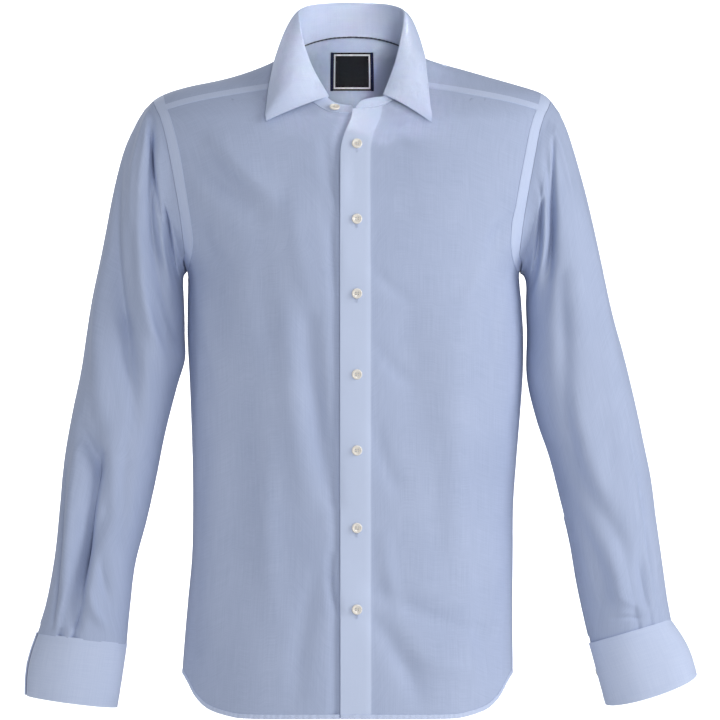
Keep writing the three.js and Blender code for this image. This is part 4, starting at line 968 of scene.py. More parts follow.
small_sleeve_folds = {
    "left": table(FOLD_COLUMNS, [
        (1.0, 52, 4.4, 116, 7, -4.6, -4, 0.2),
        (1.5, 98, 3.7, 160, 7, -3.6, 3, 0.2),
        (2.0, 92, 4.6, 138, 8, 2.6, 3, 0),
        (0.5, 40, 3.6, 52, 8, 2.4, 2, 0),
        (0.3, 84, 1.4, 96, 5, -1.3, 2, 0),
        (3.2, 34, 7.2, 40, 14, 2.2, 6, 0),
        (4.8, 94, 9.6, 128, 13, -4.5, 4, 0),
        (5.0, 66, 9.8, 92, 14, 2.6, 4, 0),
        (8.8, 45, 13.2, 42, 3.2, -1.5, 0, 0.3),
        (10.4, 142, 12.5, 116, 10, -5, 3, 0),
        (11.4, 98, 13.2, 96, 9, 2.6, 3, 0),
        (12.5, 108, 13.2, 66, 6, 2.6, 3, 0),
        (13.2, 112, 13.5, 72, 4, -1.6, 2, 0),
        (2.0, 270, 6.0, 248, 12, 3.2, 5, 0),
        (6.2, 300, 10.0, 268, 11, -3.4, 5, 0),
        (9.6, 240, 13.0, 262, 9, 3.0, 4, 0),
    ]),
    "right": table(FOLD_COLUMNS, [
        (0.5, 34, 2.4, 98, 9, -4.8, 4, 0.2),
        (0.8, 22, 4.0, 62, 8, 3.2, 3, 0),
        (1.5, 108, 3.8, 168, 6, -4.2, 3, 0.2),
        (2.2, 98, 4.4, 132, 8, 3.0, 3, 0),
        (3.4, 24, 6.5, 78, 11, -6.0, 3, 0.1),
        (6.2, 74, 8.8, 112, 11, -6.5, 3, 0.1),
        (5.2, 28, 8.8, 62, 12, 4.2, 3, 0),
        (4.0, 76, 7.4, 128, 9, 4.2, 3, 0),
        (4.6, 118, 6.4, 150, 8, -3.0, 3, 0),
        (9.2, 38, 10.1, 70, 9, -6.0, 0, 0),
        (9.8, 74, 13.5, 74, 9, -11.0, 3, 0.15),
        (9.8, 42, 13.6, 57, 9, 6.0, 0, 0),
        (10.2, 18, 13.7, 46, 4, -3.4, 3, 0.2),
        (9.2, 108, 11.6, 128, 10, -2.6, 4, 0),
        (12.0, 100, 12.9, 128, 7, -3.0, 3, 0),
        (12.6, 86, 13.5, 118, 6, 2.6, 3, 0),
        (2.0, 268, 6.0, 244, 12, 3.2, 5, 0),
        (6.2, 296, 10.0, 270, 11, -3.4, 5, 0),
        (9.6, 244, 13.0, 262, 9, 3.0, 4, 0),
    ]),
}
CUFF_PLEATS = (58, 78)
PLEAT_DEPTHS = {"left": 1.0, "right": 2.6}
SLEEVE_SMALL_FOLD_GAIN = 1.6


def sleeve_fold_shift(folds, along, degrees, girth):
    """How far a table of sleeve folds moves the cloth outward."""
    shift = np.zeros(along.shape)
    for k in range(len(folds["x0"])):
        fold = {name: column[k] for name, column in folds.items()}
        dx = (fold["x1"] - fold["x0"]) * RING_SPACING
        dy = (fold["z1"] - fold["z0"]) / 360 * girth
        px = (along - fold["x0"]) * RING_SPACING
        py = (degrees - fold["z0"]) / 360 * girth
        long = np.hypot(dx, dy)
        share = (px * dx + py * dy) / long ** 2
        held = np.clip(share, 0, 1)
        across = (px * dy - py * dx) / long - fold["bow"] * np.sin(math.pi * held)
        past = (share - held) * long
        width = fold["width"] * (1 + fold["steep"] * np.sign(across))
        strength = 0.4 + 0.6 * np.sin(math.pi * held)
        fade = np.exp(-(across / width) ** 2 - (past / fold["width"]) ** 2)
        shift = shift + fold["depth"] * strength * fade
    return shift


def armhole_points(side, turn_round):
    drop = (1 - np.cos(turn_round)) / 2
    z = SHOULDER_TIP_Z + (ARMPIT_Z - SHOULDER_TIP_Z) * drop
    at_front = np.sin(turn_round) >= 0
    turn = np.where(at_front, side_turn(z, side, True), side_turn(z, side, False))
    points = body_points(side * turn, z)
    points[..., 0] += side * SLEEVE_SET_OUT
    return points


def oval_ring(side, ring, forward, turn_round):
    """Points round an oval between an outer and an inner edge, the ways they face, and its reach."""
    nothing = np.zeros(turn_round.shape)
    out = np.stack([side * ring["out_x"], nothing, ring["out_z"]], axis=-1)
    inner = np.stack([side * ring["in_x"], nothing, ring["in_z"]], axis=-1)
    middle, across = (out + inner) / 2, (out - inner) / 2
    reach = np.linalg.norm(across, axis=-1)
    to_front = np.array([0.0, -1.0, 0.0])
    cos, sin = np.cos(turn_round), np.sin(turn_round)
    points = middle + across * cos[..., None] + to_front * (ring["deep"] * sin + forward)[..., None]
    normals = across * (cos / reach ** 2)[..., None] + to_front * (sin / ring["deep"])[..., None]
    normals /= np.linalg.norm(normals, axis=-1, keepdims=True)
    return points, normals, reach


def sleeve_points(side, along, turn_round, outward=0.0, fine=1.0):
    """Points of a sleeve: along counts rings down from the armhole, which is ring 0."""
    name = "left" if side > 0 else "right"
    along, turn_round, outward = np.broadcast_arrays(
        np.asarray(along, float), np.asarray(turn_round, float), outward)
    rows = sleeve_rings[name]
    ring = {key: read(rows, "step", key, np.maximum(1, along)) for key in rows}
    points, normals, reach = oval_ring(side, ring, ring["forward"], turn_round)
    degrees = np.degrees(turn_round) % 360
    girth = GIRTH_FACTOR * (reach + ring["deep"])
    calm = 1 - smooth_step(-0.2, -0.9, np.cos(turn_round)) * 0.8
    shift = sleeve_fold_shift(sleeve_folds[name], along, degrees, girth) * smooth_step(0, 1, along)
    small = sleeve_fold_shift(small_sleeve_folds[name], along, degrees, girth) * smooth_step(0, 0.5, along)
    arc = turn_round * girth / (2 * math.pi)
    small = small + 0.55 * slack(arc * 0.8, along * RING_SPACING, 1.9 + side)
    near_cuff = smooth_step(11.4, 13, along)
    for pleat in CUFF_PLEATS:
        off = degrees - pleat
        small = small - PLEAT_DEPTHS[name] * near_cuff * np.exp(-(off / np.where(off > 0, 7.0, 2.4)) ** 2)
    shift = (shift * (1 + FOLD_GAIN * fine) + SLEEVE_SMALL_FOLD_GAIN * fine * small) * calm
    points = points + normals * (shift + outward)[..., None]
    seam = armhole_points(side, turn_round)
    mix = np.clip(along, 0, 1)[..., None]
    return seam * (1 - mix) + points * mix


sleeve_alongs = np.concatenate([np.linspace(0, 1, 18)[:-1], np.linspace(1, 14, 190)])[:, None]
sleeve_turns = (math.pi + np.linspace(0, 2 * math.pi, 171)[:-1])[None, :] % (2 * math.pi)
for side, name in ((1, "left"), (-1, "right")):
    grid = sleeve_points(side, sleeve_alongs, sleeve_turns)
    sleeve = shell(f"sleeve_{name}_cloth", grid, CLOTH, poplin, wrapped=True)
    sewn_piece(sleeve, f"sleeve_{name}")

# The cuffs: barrel cuffs of poplin over a firm interlining, edge stitched all round.
# Their ends lap and are closed with one button; a bound slit runs up the sleeve above it.
CUFF_THICKNESS = 1.9
CUFF_LAP = math.radians(34)
CUFF_LAP_STEP = 2.7
CUFF_FORWARD = 16
CUFF_BELLY = 4
cuffs = {
    "left": {
        "top": {"out_x": 351, "out_z": -611.9, "in_x": 262.7, "in_z": -638, "deep": 37.6},
        "bottom": {"out_x": 379, "out_z": -671, "in_x": 280, "in_z": -702, "deep": 34},
        "dip": 9,
        "open": 202,
    },
    "right": {
        "top": {"out_x": 345.4, "out_z": -627, "in_x": 248.1, "in_z": -639, "deep": 37.6},
        "bottom": {"out_x": 358, "out_z": -694, "in_x": 258.5, "in_z": -707, "deep": 34},
        "dip": 2,
        "open": 338,
    },
}


def cuff_points(side, down, turn_round, outward=0.0):
    """Points of a cuff and the ways they face: down is 0 at its seam and 1 at its edge."""
    cuff = cuffs["left" if side > 0 else "right"]
    down, turn_round, outward = np.broadcast_arrays(
        np.asarray(down, float), np.asarray(turn_round, float), outward)
    mixed = {key: cuff["top"][key] + (cuff["bottom"][key] - cuff["top"][key]) * down for key in cuff["top"]}
    points, normals, _ = oval_ring(side, mixed, CUFF_FORWARD, turn_round)
    belly = CUFF_BELLY * np.sin(math.pi * np.clip(down, 0, 1)) * np.maximum(0, np.cos(turn_round)) ** 2
    points[..., 2] -= cuff["dip"] * down * np.sin(turn_round)
    return points + normals * (belly + outward)[..., None], normals


def cuff_grid(side, downs, shares, lift=0.0):
    open_at = math.radians(cuffs["left" if side > 0 else "right"]["open"])
    turns = 2 * math.pi + CUFF_LAP
    climb = smooth_step(0.3, 1 - CUFF_LAP / turns - 0.03, shares) - 0.5
    turn_round = open_at - CUFF_LAP / 2 + turns * shares
    bend = 0.35 * np.sin(3 * turn_round + side) * np.sin(math.pi * downs)
    bend = bend + 0.25 * np.sin(7 * turn_round + 2 * side)
    rest = CUFF_LAP_STEP * climb + bend * np.sin(math.pi * shares) + lift
    return cuff_points(side, downs, turn_round, rest)


for side, name in ((1, "left"), (-1, "right")):
    downs = np.linspace(-0.03, 1, 26)[:, None]
    shares = np.linspace(0, 1, 200)[None, :]
    grid, normals = cuff_grid(side, downs, shares)
    cuff = shell(f"cuff_{name}_cloth", grid, CUFF_THICKNESS, poplin_doubled)
    sewn_piece(cuff, f"cuff_{name}")
    for k, down in enumerate((0.06, 0.9)):
        line, outward = cuff_grid(side, np.full(200, down), np.linspace(0.03, 0.98, 200), CUFF_THICKNESS / 2)
        stitch_row(f"cuff_{name}_stitches_{k + 1}", line, outward)
    open_at = math.radians(cuffs[name]["open"])
    placket_rings = np.linspace(10.4, 13.7, 40)[:, None]
    placket_spread = open_at + np.linspace(-0.24, 0.24, 9)[None, :]
    placket_grid = sleeve_points(side, placket_rings, placket_spread, 1.5)
    placket = shell(f"sleeve_placket_{name}_cloth", placket_grid, 0.9, poplin_doubled)
    sewn_piece(placket, f"sleeve_placket_{name}")

# The collar: a stand and a turned-down leaf with pointed corners, both poplin on a firm
# interlining. The leaf rolls softly over the stand, and its corners lie open on the fronts.
COLLAR_THICKNESS = 1.5
STAND_SEAT_LIFT = 0.3
LEAF_LIFT = 2.9
collar_rows = {
    "left": [
        (13, 0, 62, 66, 0, 71, 22, 8),
        (12, 23, 59.5, 65.5, 29, 67.5, 20.5, 8),
        (11, 39, 50, 64, 51, 57, 18.5, 7.5),
        (10, 50, 36, 61, 66, 42, 16.5, 7),
        (9, 56, 19, 57.5, 74.5, 20, 15, 6.5),
        (8, 58, 0, 53, 79, -5, 12, 6.5),
        (7, 57, -17, 39, 82, -37, -13, 7),
        (6, 54, -31, 23, 84, -61, -33, 8.5),
        (5, 50, -44, 5, 85.5, -80, -49, 10),
        (4, 44.5, -56, -13, 87, -88, -58, 10.5),
        (3, 36, -66, -36, 87, -93, -66, 11),
    ],
    "right": [
        (13, 0, 62, 66, 0, 71, 22, 8),
        (12, 23, 59.5, 65.5, 30, 67.5, 20, 8),
        (11, 39, 50, 64, 53, 57, 16.5, 7.5),
        (10, 50, 36, 61.5, 70, 42, 12.5, 7),
        (9, 57, 19, 58, 79.5, 20, 10.5, 6.5),
        (8, 59, 0, 54, 83.5, -5, 8.5, 6.5),
        (7, 57.5, -17, 40, 89, -39, -16, 7),
        (6, 54.5, -31, 23, 92, -64, -36, 8.5),
        (5, 49, -44, 5, 93.5, -80, -50, 10),
        (4, 42, -56, -12, 94.5, -88, -58, 10.5),
        (3, 27, -67, -38, 93.5, -92, -64, 11),
    ],
}
stand_ends = {
    "left": [
        (30, -48.5, 25, -69, -38.5),
        (16, -50.5, 13, -71, -41),
        (4, -50.5, 6, -75, -45),
    ],
    "right": [
        (28, -53, 19, -68, -44),
        (15, -55.5, 9, -68, -46.5),
        (-1, -56, -3, -68, -47.5),
    ],
}


def smoothed(points, count):
    """Evenly stepped places on a smooth curve through a row of points."""
    points = np.asarray(points, float)
    last = len(points) - 1
    found = []
    for place in np.linspace(0, last, count):
        k = min(int(place), last - 1)
        t = place - k
        before = points[k - 1] if k > 0 else 2 * points[0] - points[1]
        after = points[k + 2] if k + 2 <= last else 2 * points[last] - points[last - 1]
        p1, p2 = points[k], points[k + 1]
        gaps = [math.sqrt(np.linalg.norm(b - a)) for a, b in ((before, p1), (p1, p2), (p2, after))]
        d0, d1, d2 = gaps
        s1 = ((p1 - before) / d0 - (p2 - before) / (d0 + d1) + (p2 - p1) / d1) * d1
        s2 = ((p2 - p1) / d1 - (after - p1) / (d1 + d2) + (after - p2) / d2) * d1
        found.append(
            p1 + s1 * t + (-3 * p1 + 3 * p2 - 2 * s1 - s2) * t * t + (2 * p1 - 2 * p2 + s1 + s2) * t ** 3)
    return np.array(found)


def stand_column(name, row):
    """The foot of the stand on the neck seam, and its top, at one column."""
    side = 1 if name == "left" else -1
    if "seat" in row:
        seam = neck_seams[name]
        foot = body_points(side * seam["turn"][row["seat"]], seam["z"][row["seat"]] + STAND_SEAT_LIFT)
        return foot, np.array([side * row["fold_x"], row["fold_y"], row["fold_z"]])
    x, z = side * row["foot_x"], row["foot_z"] + STAND_SEAT_LIFT
    inset = under_lap(x, z) if side < 0 else 0.0
    foot = body_points(turn_at(x, z), z, inset)
    return foot, np.array([side * row["top_x"], row["top_y"], row["top_z"]])


def rows_of(columns, rows):
    return [dict(zip(columns.split(), row)) for row in rows]


LEAF_COLUMNS = "seat fold_x fold_y fold_z edge_x edge_y edge_z roll"
END_COLUMNS = "foot_x foot_z top_x top_y top_z"
right_rows, left_rows = (rows_of(LEAF_COLUMNS, collar_rows[name]) for name in ("right", "left"))
right_ends, left_ends = (rows_of(END_COLUMNS, stand_ends[name]) for name in ("right", "left"))
stand_columns = [stand_column("right", row) for row in right_ends[::-1] + right_rows[::-1]]
stand_columns += [stand_column("left", row) for row in left_rows[1:] + left_ends]
STAND_STEPS = 190
stand_feet = smoothed([column[0] for column in stand_columns], STAND_STEPS)
stand_tops = smoothed([column[1] for column in stand_columns], STAND_STEPS)
stand_ups = np.linspace(0, 1, 22)[:, None, None]
stand_grid = stand_feet[None] * (1 - stand_ups) + stand_tops[None] * stand_ups
stand_share = np.linspace(-1, 1, STAND_STEPS)[None, :]
stand_up = stand_ups[..., 0]
# The inner cloth of the stand is fuller than it needs, so it ripples near its top at the back.
stand_ripple = np.sin(math.pi * stand_up) * np.exp(-(stand_share / 0.55) ** 2) * (
    0.5 * np.sin(46 * stand_share + 1.2) + 0.35 * np.sin(27 * stand_share + 5 * stand_up))
stand_ripple = stand_ripple * smooth_step(-0.25, 0.3, stand_share)
stand_grid = stand_grid + grid_normals(stand_grid) * (0.5 * stand_ripple)[..., None]


def rounded_ends(grid, reach):
    """Rounds the upper corners at the ends of the stand, as its lapping ends are cut."""
    grid = grid.copy()
    columns = grid.shape[1]
    for end, ahead in ((0, 1), (columns - 1, -1)):
        for k in range(int(columns * 0.12)):
            j = end + ahead * k
            travelled = np.linalg.norm(grid[0, j] - grid[0, end])
            if travelled >= reach:
                break
            drop = 1 - math.sqrt(max(0.0, 1 - (1 - travelled / reach) ** 2))
            top, foot = grid[-1, j].copy(), grid[0, j].copy()
            shorter = top + (foot - top) * 0.75 * drop
            for i in range(grid.shape[0]):
                share = i / (grid.shape[0] - 1)
                grid[i, j] = foot + (shorter - foot) * share
    return grid


stand_grid = rounded_ends(stand_grid, 7.0)
stand_cloth = shell("collar_stand_cloth", stand_grid, COLLAR_THICKNESS, poplin_doubled)
sewn_piece(stand_cloth, "collar_stand")


def leaf_column(name, row, shares):
    """One line down the leaf, from the top of the stand, over the roll, to its edge."""
    side = 1 if name == "left" else -1
    foot, fold = stand_column(name, row)
    upward = (fold - foot) / np.linalg.norm(fold - foot)
    start = fold + upward * LEAF_LIFT
    edge = np.array([side * row["edge_x"], row["edge_y"], row["edge_z"]])
    away = np.array([fold[0], fold[1] + 10, 0.0])
    away = away / np.linalg.norm(away) + np.array([0, 0, 0.9 if row["seat"] > 3 else 0.1])
    belly = start + (edge - start) * 0.25 + away * row["roll"]
    hang = np.clip((shares - LEAF_TOP_SHARE) / (1 - LEAF_TOP_SHARE), 0, 1)[:, None]
    t = 0.06 + 0.94 * hang
    falling = start * (1 - t) ** 2 + belly * 2 * t * (1 - t) + edge * t * t
    first = start * 0.94 ** 2 + belly * 2 * 0.06 * 0.94 + edge * 0.06 ** 2
    over = np.clip(shares / LEAF_TOP_SHARE, 0, 1)[:, None]
    crown = start + upward * 0.9
    turning = (fold - upward) * (1 - over) ** 2 + crown * 2 * over * (1 - over) + first * over * over
    return np.where(shares[:, None] < LEAF_TOP_SHARE, turning, falling)


LEAF_TOP_SHARE = 0.1
leaf_shares = np.concatenate([np.linspace(0, 0.16, 16)[:-1], np.linspace(0.16, 1, 28)])
leaf_columns = [leaf_column("right", row, leaf_shares) for row in right_rows[::-1]]
leaf_columns += [leaf_column("left", row, leaf_shares) for row in left_rows[1:]]
leaf_grid = np.array([
    smoothed([column[i] for column in leaf_columns], 200) for i in range(len(leaf_shares))
])
leaf_place = np.linspace(-1, 1, 200)[None, :]
leaf_wave = 0.5 * np.sin(9 * leaf_place + 2 * leaf_shares[:, None]) * np.sin(math.pi * leaf_shares)[:, None]
leaf_grid = leaf_grid + grid_normals(leaf_grid) * leaf_wave[..., None]
leaf_cloth = shell("collar_leaf_cloth", leaf_grid, COLLAR_THICKNESS, poplin_doubled)
sewn_piece(leaf_cloth, "collar_leaf")

# The buttons: pearly four-hole buttons with a raised rim and a dished middle, sewn on with
# two short bars of white thread. Seven close the front, one the stand and one each cuff.
BUTTON_RADIUS = 5.7
BUTTON_THICKNESS = 2.4
BUTTON_WELL_RADIUS = 3.4
BUTTON_WELL_HEIGHT = 1.78
BUTTON_HOLE_RADIUS = 0.72
BUTTON_HOLE_REACH = 1.55
BUTTON_SIDES = 48

pearl, pearl_tree, pearl_output = new_material("mother_of_pearl")
# Trocas shell: creamy white with a soft satin gloss and faint pink and green clouds.
pearl_place = add_node(pearl_tree, "ShaderNodeTexCoord")
pearl_cloud = add_node(
    pearl_tree, "ShaderNodeTexNoise", {"Scale": 260.0, "Detail": 3.0, "Distortion": 1.2},
    {"Vector": pearl_place.outputs["Object"]})
pearl_ramp = add_node(pearl_tree, "ShaderNodeValToRGB", None, {"Fac": pearl_cloud.outputs["Fac"]})
pearl_ramp.color_ramp.elements[0].color = srgb("#DDD3C0")
pearl_ramp.color_ramp.elements[1].color = srgb("#F4F1EC")
pearl_middle = pearl_ramp.color_ramp.elements.new(0.5)
pearl_middle.color = srgb("#E9E4DC")
pearl_shader = add_node(pearl_tree, "ShaderNodeBsdfPrincipled", {
    "Roughness": 0.22, "IOR": 1.56, "Coat Weight": 0.3, "Coat Roughness": 0.12,
})
pearl_tree.links.new(pearl_ramp.outputs["Color"], pearl_shader.inputs["Base Color"])
finish_material(pearl_tree, pearl_output, pearl_shader)

# Waxed polyester button thread: off-white, slightly glossy, its twist drawn as fine noise.
white_thread = two_tone(
    "button_thread", "ShaderNodeTexNoise", {"Scale": 1500.0}, "#CFCBC6", "#F2F0EE",
    {"Roughness": 0.45, "Sheen Weight": 0.2}, placed=False)


def ring_points(radius, height, sides, x=0.0, y=0.0, start=0.0):
    angles = start + 2 * math.pi * np.arange(sides) / sides
    return [(x + radius * math.cos(a), y + radius * math.sin(a), height) for a in angles]


def button_mesh():
    """Rim, dish and four drilled holes, as one closed surface."""
    top, sides = BUTTON_THICKNESS, BUTTON_SIDES
    profile = [
        (BUTTON_WELL_RADIUS, 0.0), (4.9, 0.0), (5.35, 0.22), (BUTTON_RADIUS, 0.9),
        (BUTTON_RADIUS, 1.5), (5.5, 2.05), (5.1, 2.34), (4.6, top), (4.1, 2.26), (3.75, 1.95),
        (BUTTON_WELL_RADIUS, BUTTON_WELL_HEIGHT),
    ]
    points, faces = [], []
    for radius, height in profile:
        points += ring_points(radius, height, sides)
    for k in range(len(profile) - 1):
        for j in range(sides):
            a, b = k * sides + j, k * sides + (j + 1) % sides
            faces.append((a, b, b + sides, a + sides))
    hole_sides = 12
    plates = []
    for level, first in ((0.0, 0), (BUTTON_WELL_HEIGHT, (len(profile) - 1) * sides)):
        loops = [[first + j for j in range(sides)]]
        for corner in range(4):
            angle = math.pi / 4 + corner * math.pi / 2
            base = len(points)
            points += ring_points(
                BUTTON_HOLE_RADIUS, level, hole_sides,
                BUTTON_HOLE_REACH * math.cos(angle), BUTTON_HOLE_REACH * math.sin(angle))
            loops.append([base + j for j in range(hole_sides)])
        plates.append(loops)
        flat = [index for loop in loops for index in loop]
        for triangle in tessellate_polygon([[Vector(points[i]) for i in loop] for loop in loops]):
            faces.append(tuple(flat[i] for i in triangle))
    for lower, upper in zip(plates[0][1:], plates[1][1:]):
        for j in range(hole_sides):
            k = (j + 1) % hole_sides
            faces.append((lower[j], lower[k], upper[k], upper[j]))
    return points, faces


def thread_bars():
    """Two level bars of thread between the holes, each of three strands."""
    points, faces = [], []
    arc = np.linspace(-1, 1, 9)
    reach = BUTTON_HOLE_REACH * math.cos(math.pi / 4)
    for row in (-1, 1):
        for strand in (-0.26, 0.0, 0.26):
            base = len(points)
            for t in arc:
                height = 1.35 + 0.95 * math.sqrt(max(0.0, 1 - abs(t) ** 3))
                centre = (reach * 1.06 * t, row * reach + strand * 0.9, height)
                points += [
                    (centre[0], centre[1] + 0.2 * math.cos(a), centre[2] + 0.2 * math.sin(a))
                    for a in np.linspace(0, 2 * math.pi, 7)[:-1]
                ]
            for k in range(len(arc) - 1):
                for j in range(6):
                    a, b = base + 6 * k + j, base + 6 * k + (j + 1) % 6
                    faces.append((a, b, b + 6, a + 6))
            faces.append(tuple(base + j for j in reversed(range(6))))
            faces.append(tuple(base + 6 * (len(arc) - 1) + j for j in range(6)))
    return points, faces


button_points, button_faces = button_mesh()
bar_points, bar_faces = thread_bars()


def set_button(name, place, normal, lift, node):
    """Puts one button and its thread on the cloth at a place, facing along a normal."""
    normal = Vector(normal).normalized()
    turned = Vector((0, 0, 1)).rotation_difference(normal)
    for label, points, faces, material, part in (
        (name, button_points, button_faces, pearl, node),
        (f"{name}_thread", bar_points, bar_faces, white_thread, None),
    ):
        thing = mesh_object(label, points, faces, material)
        face_outward(thing)
        thing.rotation_mode = "QUATERNION"
        thing.rotation_quaternion = turned
        thing.location = (Vector(place) + normal * lift) / 1000
        sewn_piece(thing, part)


def body_normal(x, z):
    """The way the front faces at a place, measured over a few millimetres each way."""
    step = 6
    up = body_points(turn_at(x, z + step), z + step, fine=0.0)
    down = body_points(turn_at(x, z - step), z - step, fine=0.0)
    nearer = body_points(turn_at(x - step, z), z, fine=0.0)
    farther = body_points(turn_at(x + step, z), z, fine=0.0)
    normal = np.cross(farther - nearer, up - down)
    return normal / np.linalg.norm(normal)


BUTTON_X = 5.5
BUTTON_SEAT = 1.5
STAND_BUTTON_SEAT = 1.8
CUFF_BUTTON_SEAT = 3
front_button_heights = (-90, -172, -253, -341, -424, -509, -598)
for k, z in enumerate(front_button_heights):
    place = body_points(turn_at(BUTTON_X, z), float(z), fine=0.0)
    node = f"front_button_{k + 1}"
    set_button(f"{node}_pearl", place, body_normal(BUTTON_X, z), BUTTON_SEAT, node)

STAND_BUTTON_PLACE = 1.5 / (len(stand_columns) - 1)
STAND_BUTTON_UP = 0.34
fine_feet = smoothed([column[0] for column in stand_columns], 2001)
fine_tops = smoothed([column[1] for column in stand_columns], 2001)
at = int(round(STAND_BUTTON_PLACE * 2000))
stand_along = fine_feet[at + 2] - fine_feet[at - 2]
stand_normal = np.cross(fine_tops[at] - fine_feet[at], stand_along)
stand_normal /= np.linalg.norm(stand_normal)
stand_seat = fine_feet[at] * (1 - STAND_BUTTON_UP) + fine_tops[at] * STAND_BUTTON_UP
set_button("stand_button_pearl", stand_seat, stand_normal, STAND_BUTTON_SEAT, "stand_button")

for side, name in ((1, "left"), (-1, "right")):
    open_at = math.radians(cuffs[name]["open"])
    place, normal = cuff_points(side, 0.5, open_at)
    set_button(f"cuff_button_{name}_pearl", place, normal, CUFF_BUTTON_SEAT, f"cuff_button_{name}")

# The buttonholes: upright slits in the over front, edged with close silky stitches that
# show as a short pale tail below each button.
# Dense zigzag stitches: level ribs under half a millimetre apart, a little glossy.
LEVEL_RIBS = {"wave_type": "BANDS", "bands_direction": "Z"}
buttonhole_silk = two_tone(
    "buttonhole_stitching", "ShaderNodeTexWave", {**LEVEL_RIBS, "Scale": 520.0}, "#A7B5D4", "#CBD6EE",
    THREAD_FINISH, relief=0.5)


def buttonhole(name, place, normal, upward):
    """A stitched slit: a long rounded ring lying on the cloth."""
    normal, upward = np.asarray(normal, float), np.asarray(upward, float)
    upward = upward - normal * upward.dot(normal)
    upward /= np.linalg.norm(upward)
    aside = np.cross(upward, normal)
    angles = np.linspace(0, 2 * math.pi, 33)[:-1]
    points, faces = [], []
    for half_width, half_length, height in (
        (1.15, 7.5, 0.0), (1.15, 7.5, 0.32), (0.25, 6.4, 0.32), (0.25, 6.4, 0.0),
    ):
        straight = half_length - half_width
        for a in angles:
            along = math.sin(a) * half_width + (straight if math.sin(a) >= 0 else -straight)
            points.append(place + aside * math.cos(a) * half_width + upward * along + normal * height)
    count = len(angles)
    for k in range(4):
        for j in range(count):
            a, b = k * count + j, k * count + (j + 1) % count
            c, d = ((k + 1) % 4) * count + (j + 1) % count, ((k + 1) % 4) * count + j
            faces.append((a, b, c, d))
    thing = mesh_object(name, points, faces, buttonhole_silk)
    face_outward(thing)
    return sewn_piece(thing, None)


BUTTONHOLE_DROP = 2.6
for k, z in enumerate(front_button_heights):
    low = z - BUTTONHOLE_DROP
    place = body_points(turn_at(BUTTON_X, low), low, fine=0.0) + body_normal(BUTTON_X, low) * BUTTON_SEAT
    buttonhole(f"buttonhole_{k + 1}", place, body_normal(BUTTON_X, low), (0, 0, 1))

# The label: a plain dark woven label with a thin pale woven frame and navy selvedges,
# sewn flat to the inner yoke. The real one's words and drawing are left out.
LABEL_WIDTH = 48
LABEL_HEIGHT = 41.5
LABEL_TOP_Z = 15
LABEL_DEPTH = 1.2 + LINING_GAP + 0.6 + SEAM_GAP + 0.5


def woven_label(name, dark, light, per_metre):
    """Satin-woven polyester label: dull, with very fine level ribs."""
    return two_tone(
        name, "ShaderNodeTexWave", {**LEVEL_RIBS, "Scale": per_metre}, dark, light,
        {"Roughness": 0.7, "Sheen Weight": 0.03, "Specular IOR Level": 0.2}, relief=0.2)


label_black = woven_label("label_satin_black", "#08090D", "#101117", 320.0)
label_navy = woven_label("label_selvedge_navy", "#0B1030", "#161C48", 320.0)
label_pale = woven_label("label_frame_pale", "#F4F5FA", "#FFFFFF", 640.0)


def label_patch(x0, x1, z0, z1, depth, columns, rows):
    x = np.linspace(x0, x1, columns)[None, :]
    z = np.linspace(z0, z1, rows)[:, None]
    flat = body_points(turn_at(x, z, False), z + 0 * x, fine=0.0)
    return moved_out(flat, depth)


half = LABEL_WIDTH / 2
LABEL_BOTTOM_Z = LABEL_TOP_Z - LABEL_HEIGHT
SELVEDGE_WIDTH = 2.6
FRAME_LINE = 1.6
label_grid = label_patch(-half, half, LABEL_TOP_Z, LABEL_BOTTOM_Z, LABEL_DEPTH, 24, 20)
label_cloth = shell("label_cloth", label_grid, 0.5, label_black)
sewn_piece(label_cloth, "label")
for name, x0, x1 in (
    ("right", -half - 0.2, -half + SELVEDGE_WIDTH),
    ("left", half - SELVEDGE_WIDTH, half + 0.2),
):
    grid = label_patch(x0, x1, LABEL_TOP_Z + 0.3, LABEL_BOTTOM_Z - 0.3, LABEL_DEPTH + 0.35, 4, 20)
    selvedge = shell(f"label_selvedge_{name}", grid, 0.25, label_navy)
    sewn_piece(selvedge, None)
frame_left, frame_right = -half + 3.6, half - 3.6
frame_top, frame_bottom = LABEL_TOP_Z - 1.8, LABEL_BOTTOM_Z + 2.0
frame_low, frame_high = frame_bottom + FRAME_LINE, frame_top - FRAME_LINE
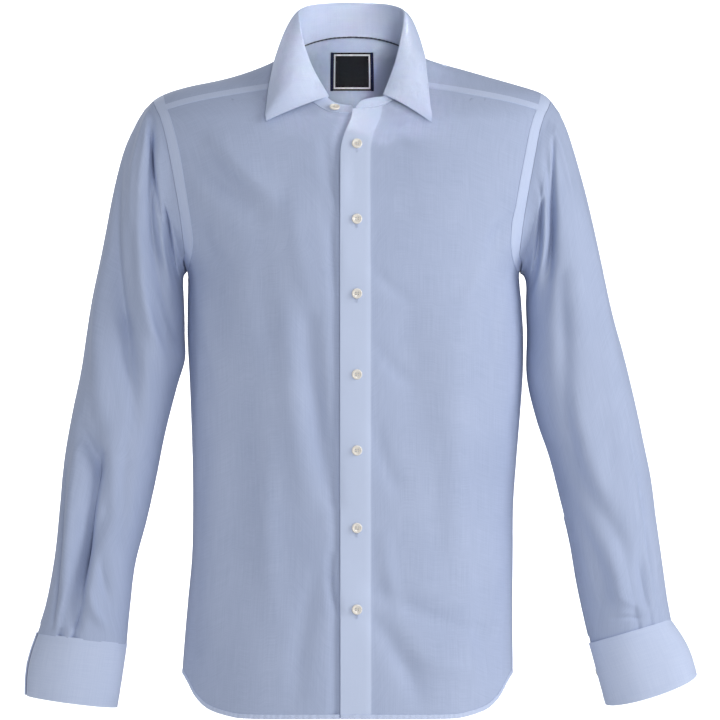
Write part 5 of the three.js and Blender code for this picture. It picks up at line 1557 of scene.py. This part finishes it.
for name, x0, x1, z0, z1 in (
    ("label_frame_top", frame_left, frame_right, frame_top, frame_high),
    ("label_frame_bottom", frame_left, frame_right, frame_low, frame_bottom),
    ("label_frame_right", frame_left, frame_left + FRAME_LINE, frame_high, frame_low),
    ("label_frame_left", frame_right - FRAME_LINE, frame_right, frame_high, frame_low),
):
    grid = label_patch(x0, x1, z0, z1, LABEL_DEPTH + 0.34, 16, 12)
    sewn_piece(shell(name, grid, 0.22, label_pale), None)

# The piping: a thin twisted navy cord set in the seam between the stand and the inner yoke.
PIPING_RADIUS = 0.85
PIPING_DEPTH = 3.6
PIPING_SIDES = 10
# Twisted rayon: very dark blue in fine slanting bands; the lighter blue of the bands is a painted highlight
# where the ribs would catch a little light.
navy_cord = two_tone(
    "navy_rayon_cord", "ShaderNodeTexWave",
    {"wave_type": "BANDS", "bands_direction": "DIAGONAL", "Scale": 260.0}, "#101A2E", "#25365A",
    {"Roughness": 0.45, "Sheen Weight": 0.2})

piping_turns = np.radians(np.linspace(116, 244, 90))
signed = np.where(piping_turns > math.pi, piping_turns - 2 * math.pi, piping_turns)
behind = {
    name: {key: column[RIDGE_ROW:] for key, column in seam.items()}
    for name, seam in neck_seams.items()
}
piping_z = np.where(
    signed < 0,
    read(behind["right"], "turn", "z", np.abs(signed)),
    read(behind["left"], "turn", "z", np.abs(signed)),
)
piping_line = body_points(signed, piping_z, -PIPING_DEPTH)
piping_points, piping_faces = [], []
for k in range(len(piping_line)):
    ahead = piping_line[min(k + 1, len(piping_line) - 1)] - piping_line[max(k - 1, 0)]
    ahead /= np.linalg.norm(ahead)
    aside = np.cross(ahead, (0, 0, 1.0))
    aside /= np.linalg.norm(aside)
    up = np.cross(aside, ahead)
    for j in range(PIPING_SIDES):
        a = 2 * math.pi * j / PIPING_SIDES + k * 0.5
        strand = PIPING_RADIUS * (1 + 0.12 * math.cos(2 * (a - k)))
        piping_points.append(piping_line[k] + strand * (math.cos(a) * aside + math.sin(a) * up))
for k in range(len(piping_line) - 1):
    for j in range(PIPING_SIDES):
        a, b = PIPING_SIDES * k + j, PIPING_SIDES * k + (j + 1) % PIPING_SIDES
        piping_faces.append((a, b, b + PIPING_SIDES, a + PIPING_SIDES))
piping_faces.append(tuple(reversed(range(PIPING_SIDES))))
piping_faces.append(tuple(len(piping_points) - PIPING_SIDES + j for j in range(PIPING_SIDES)))
piping = mesh_object("neck_piping_cord", piping_points, piping_faces, navy_cord)
face_outward(piping)
sewn_piece(piping, "neck_piping")
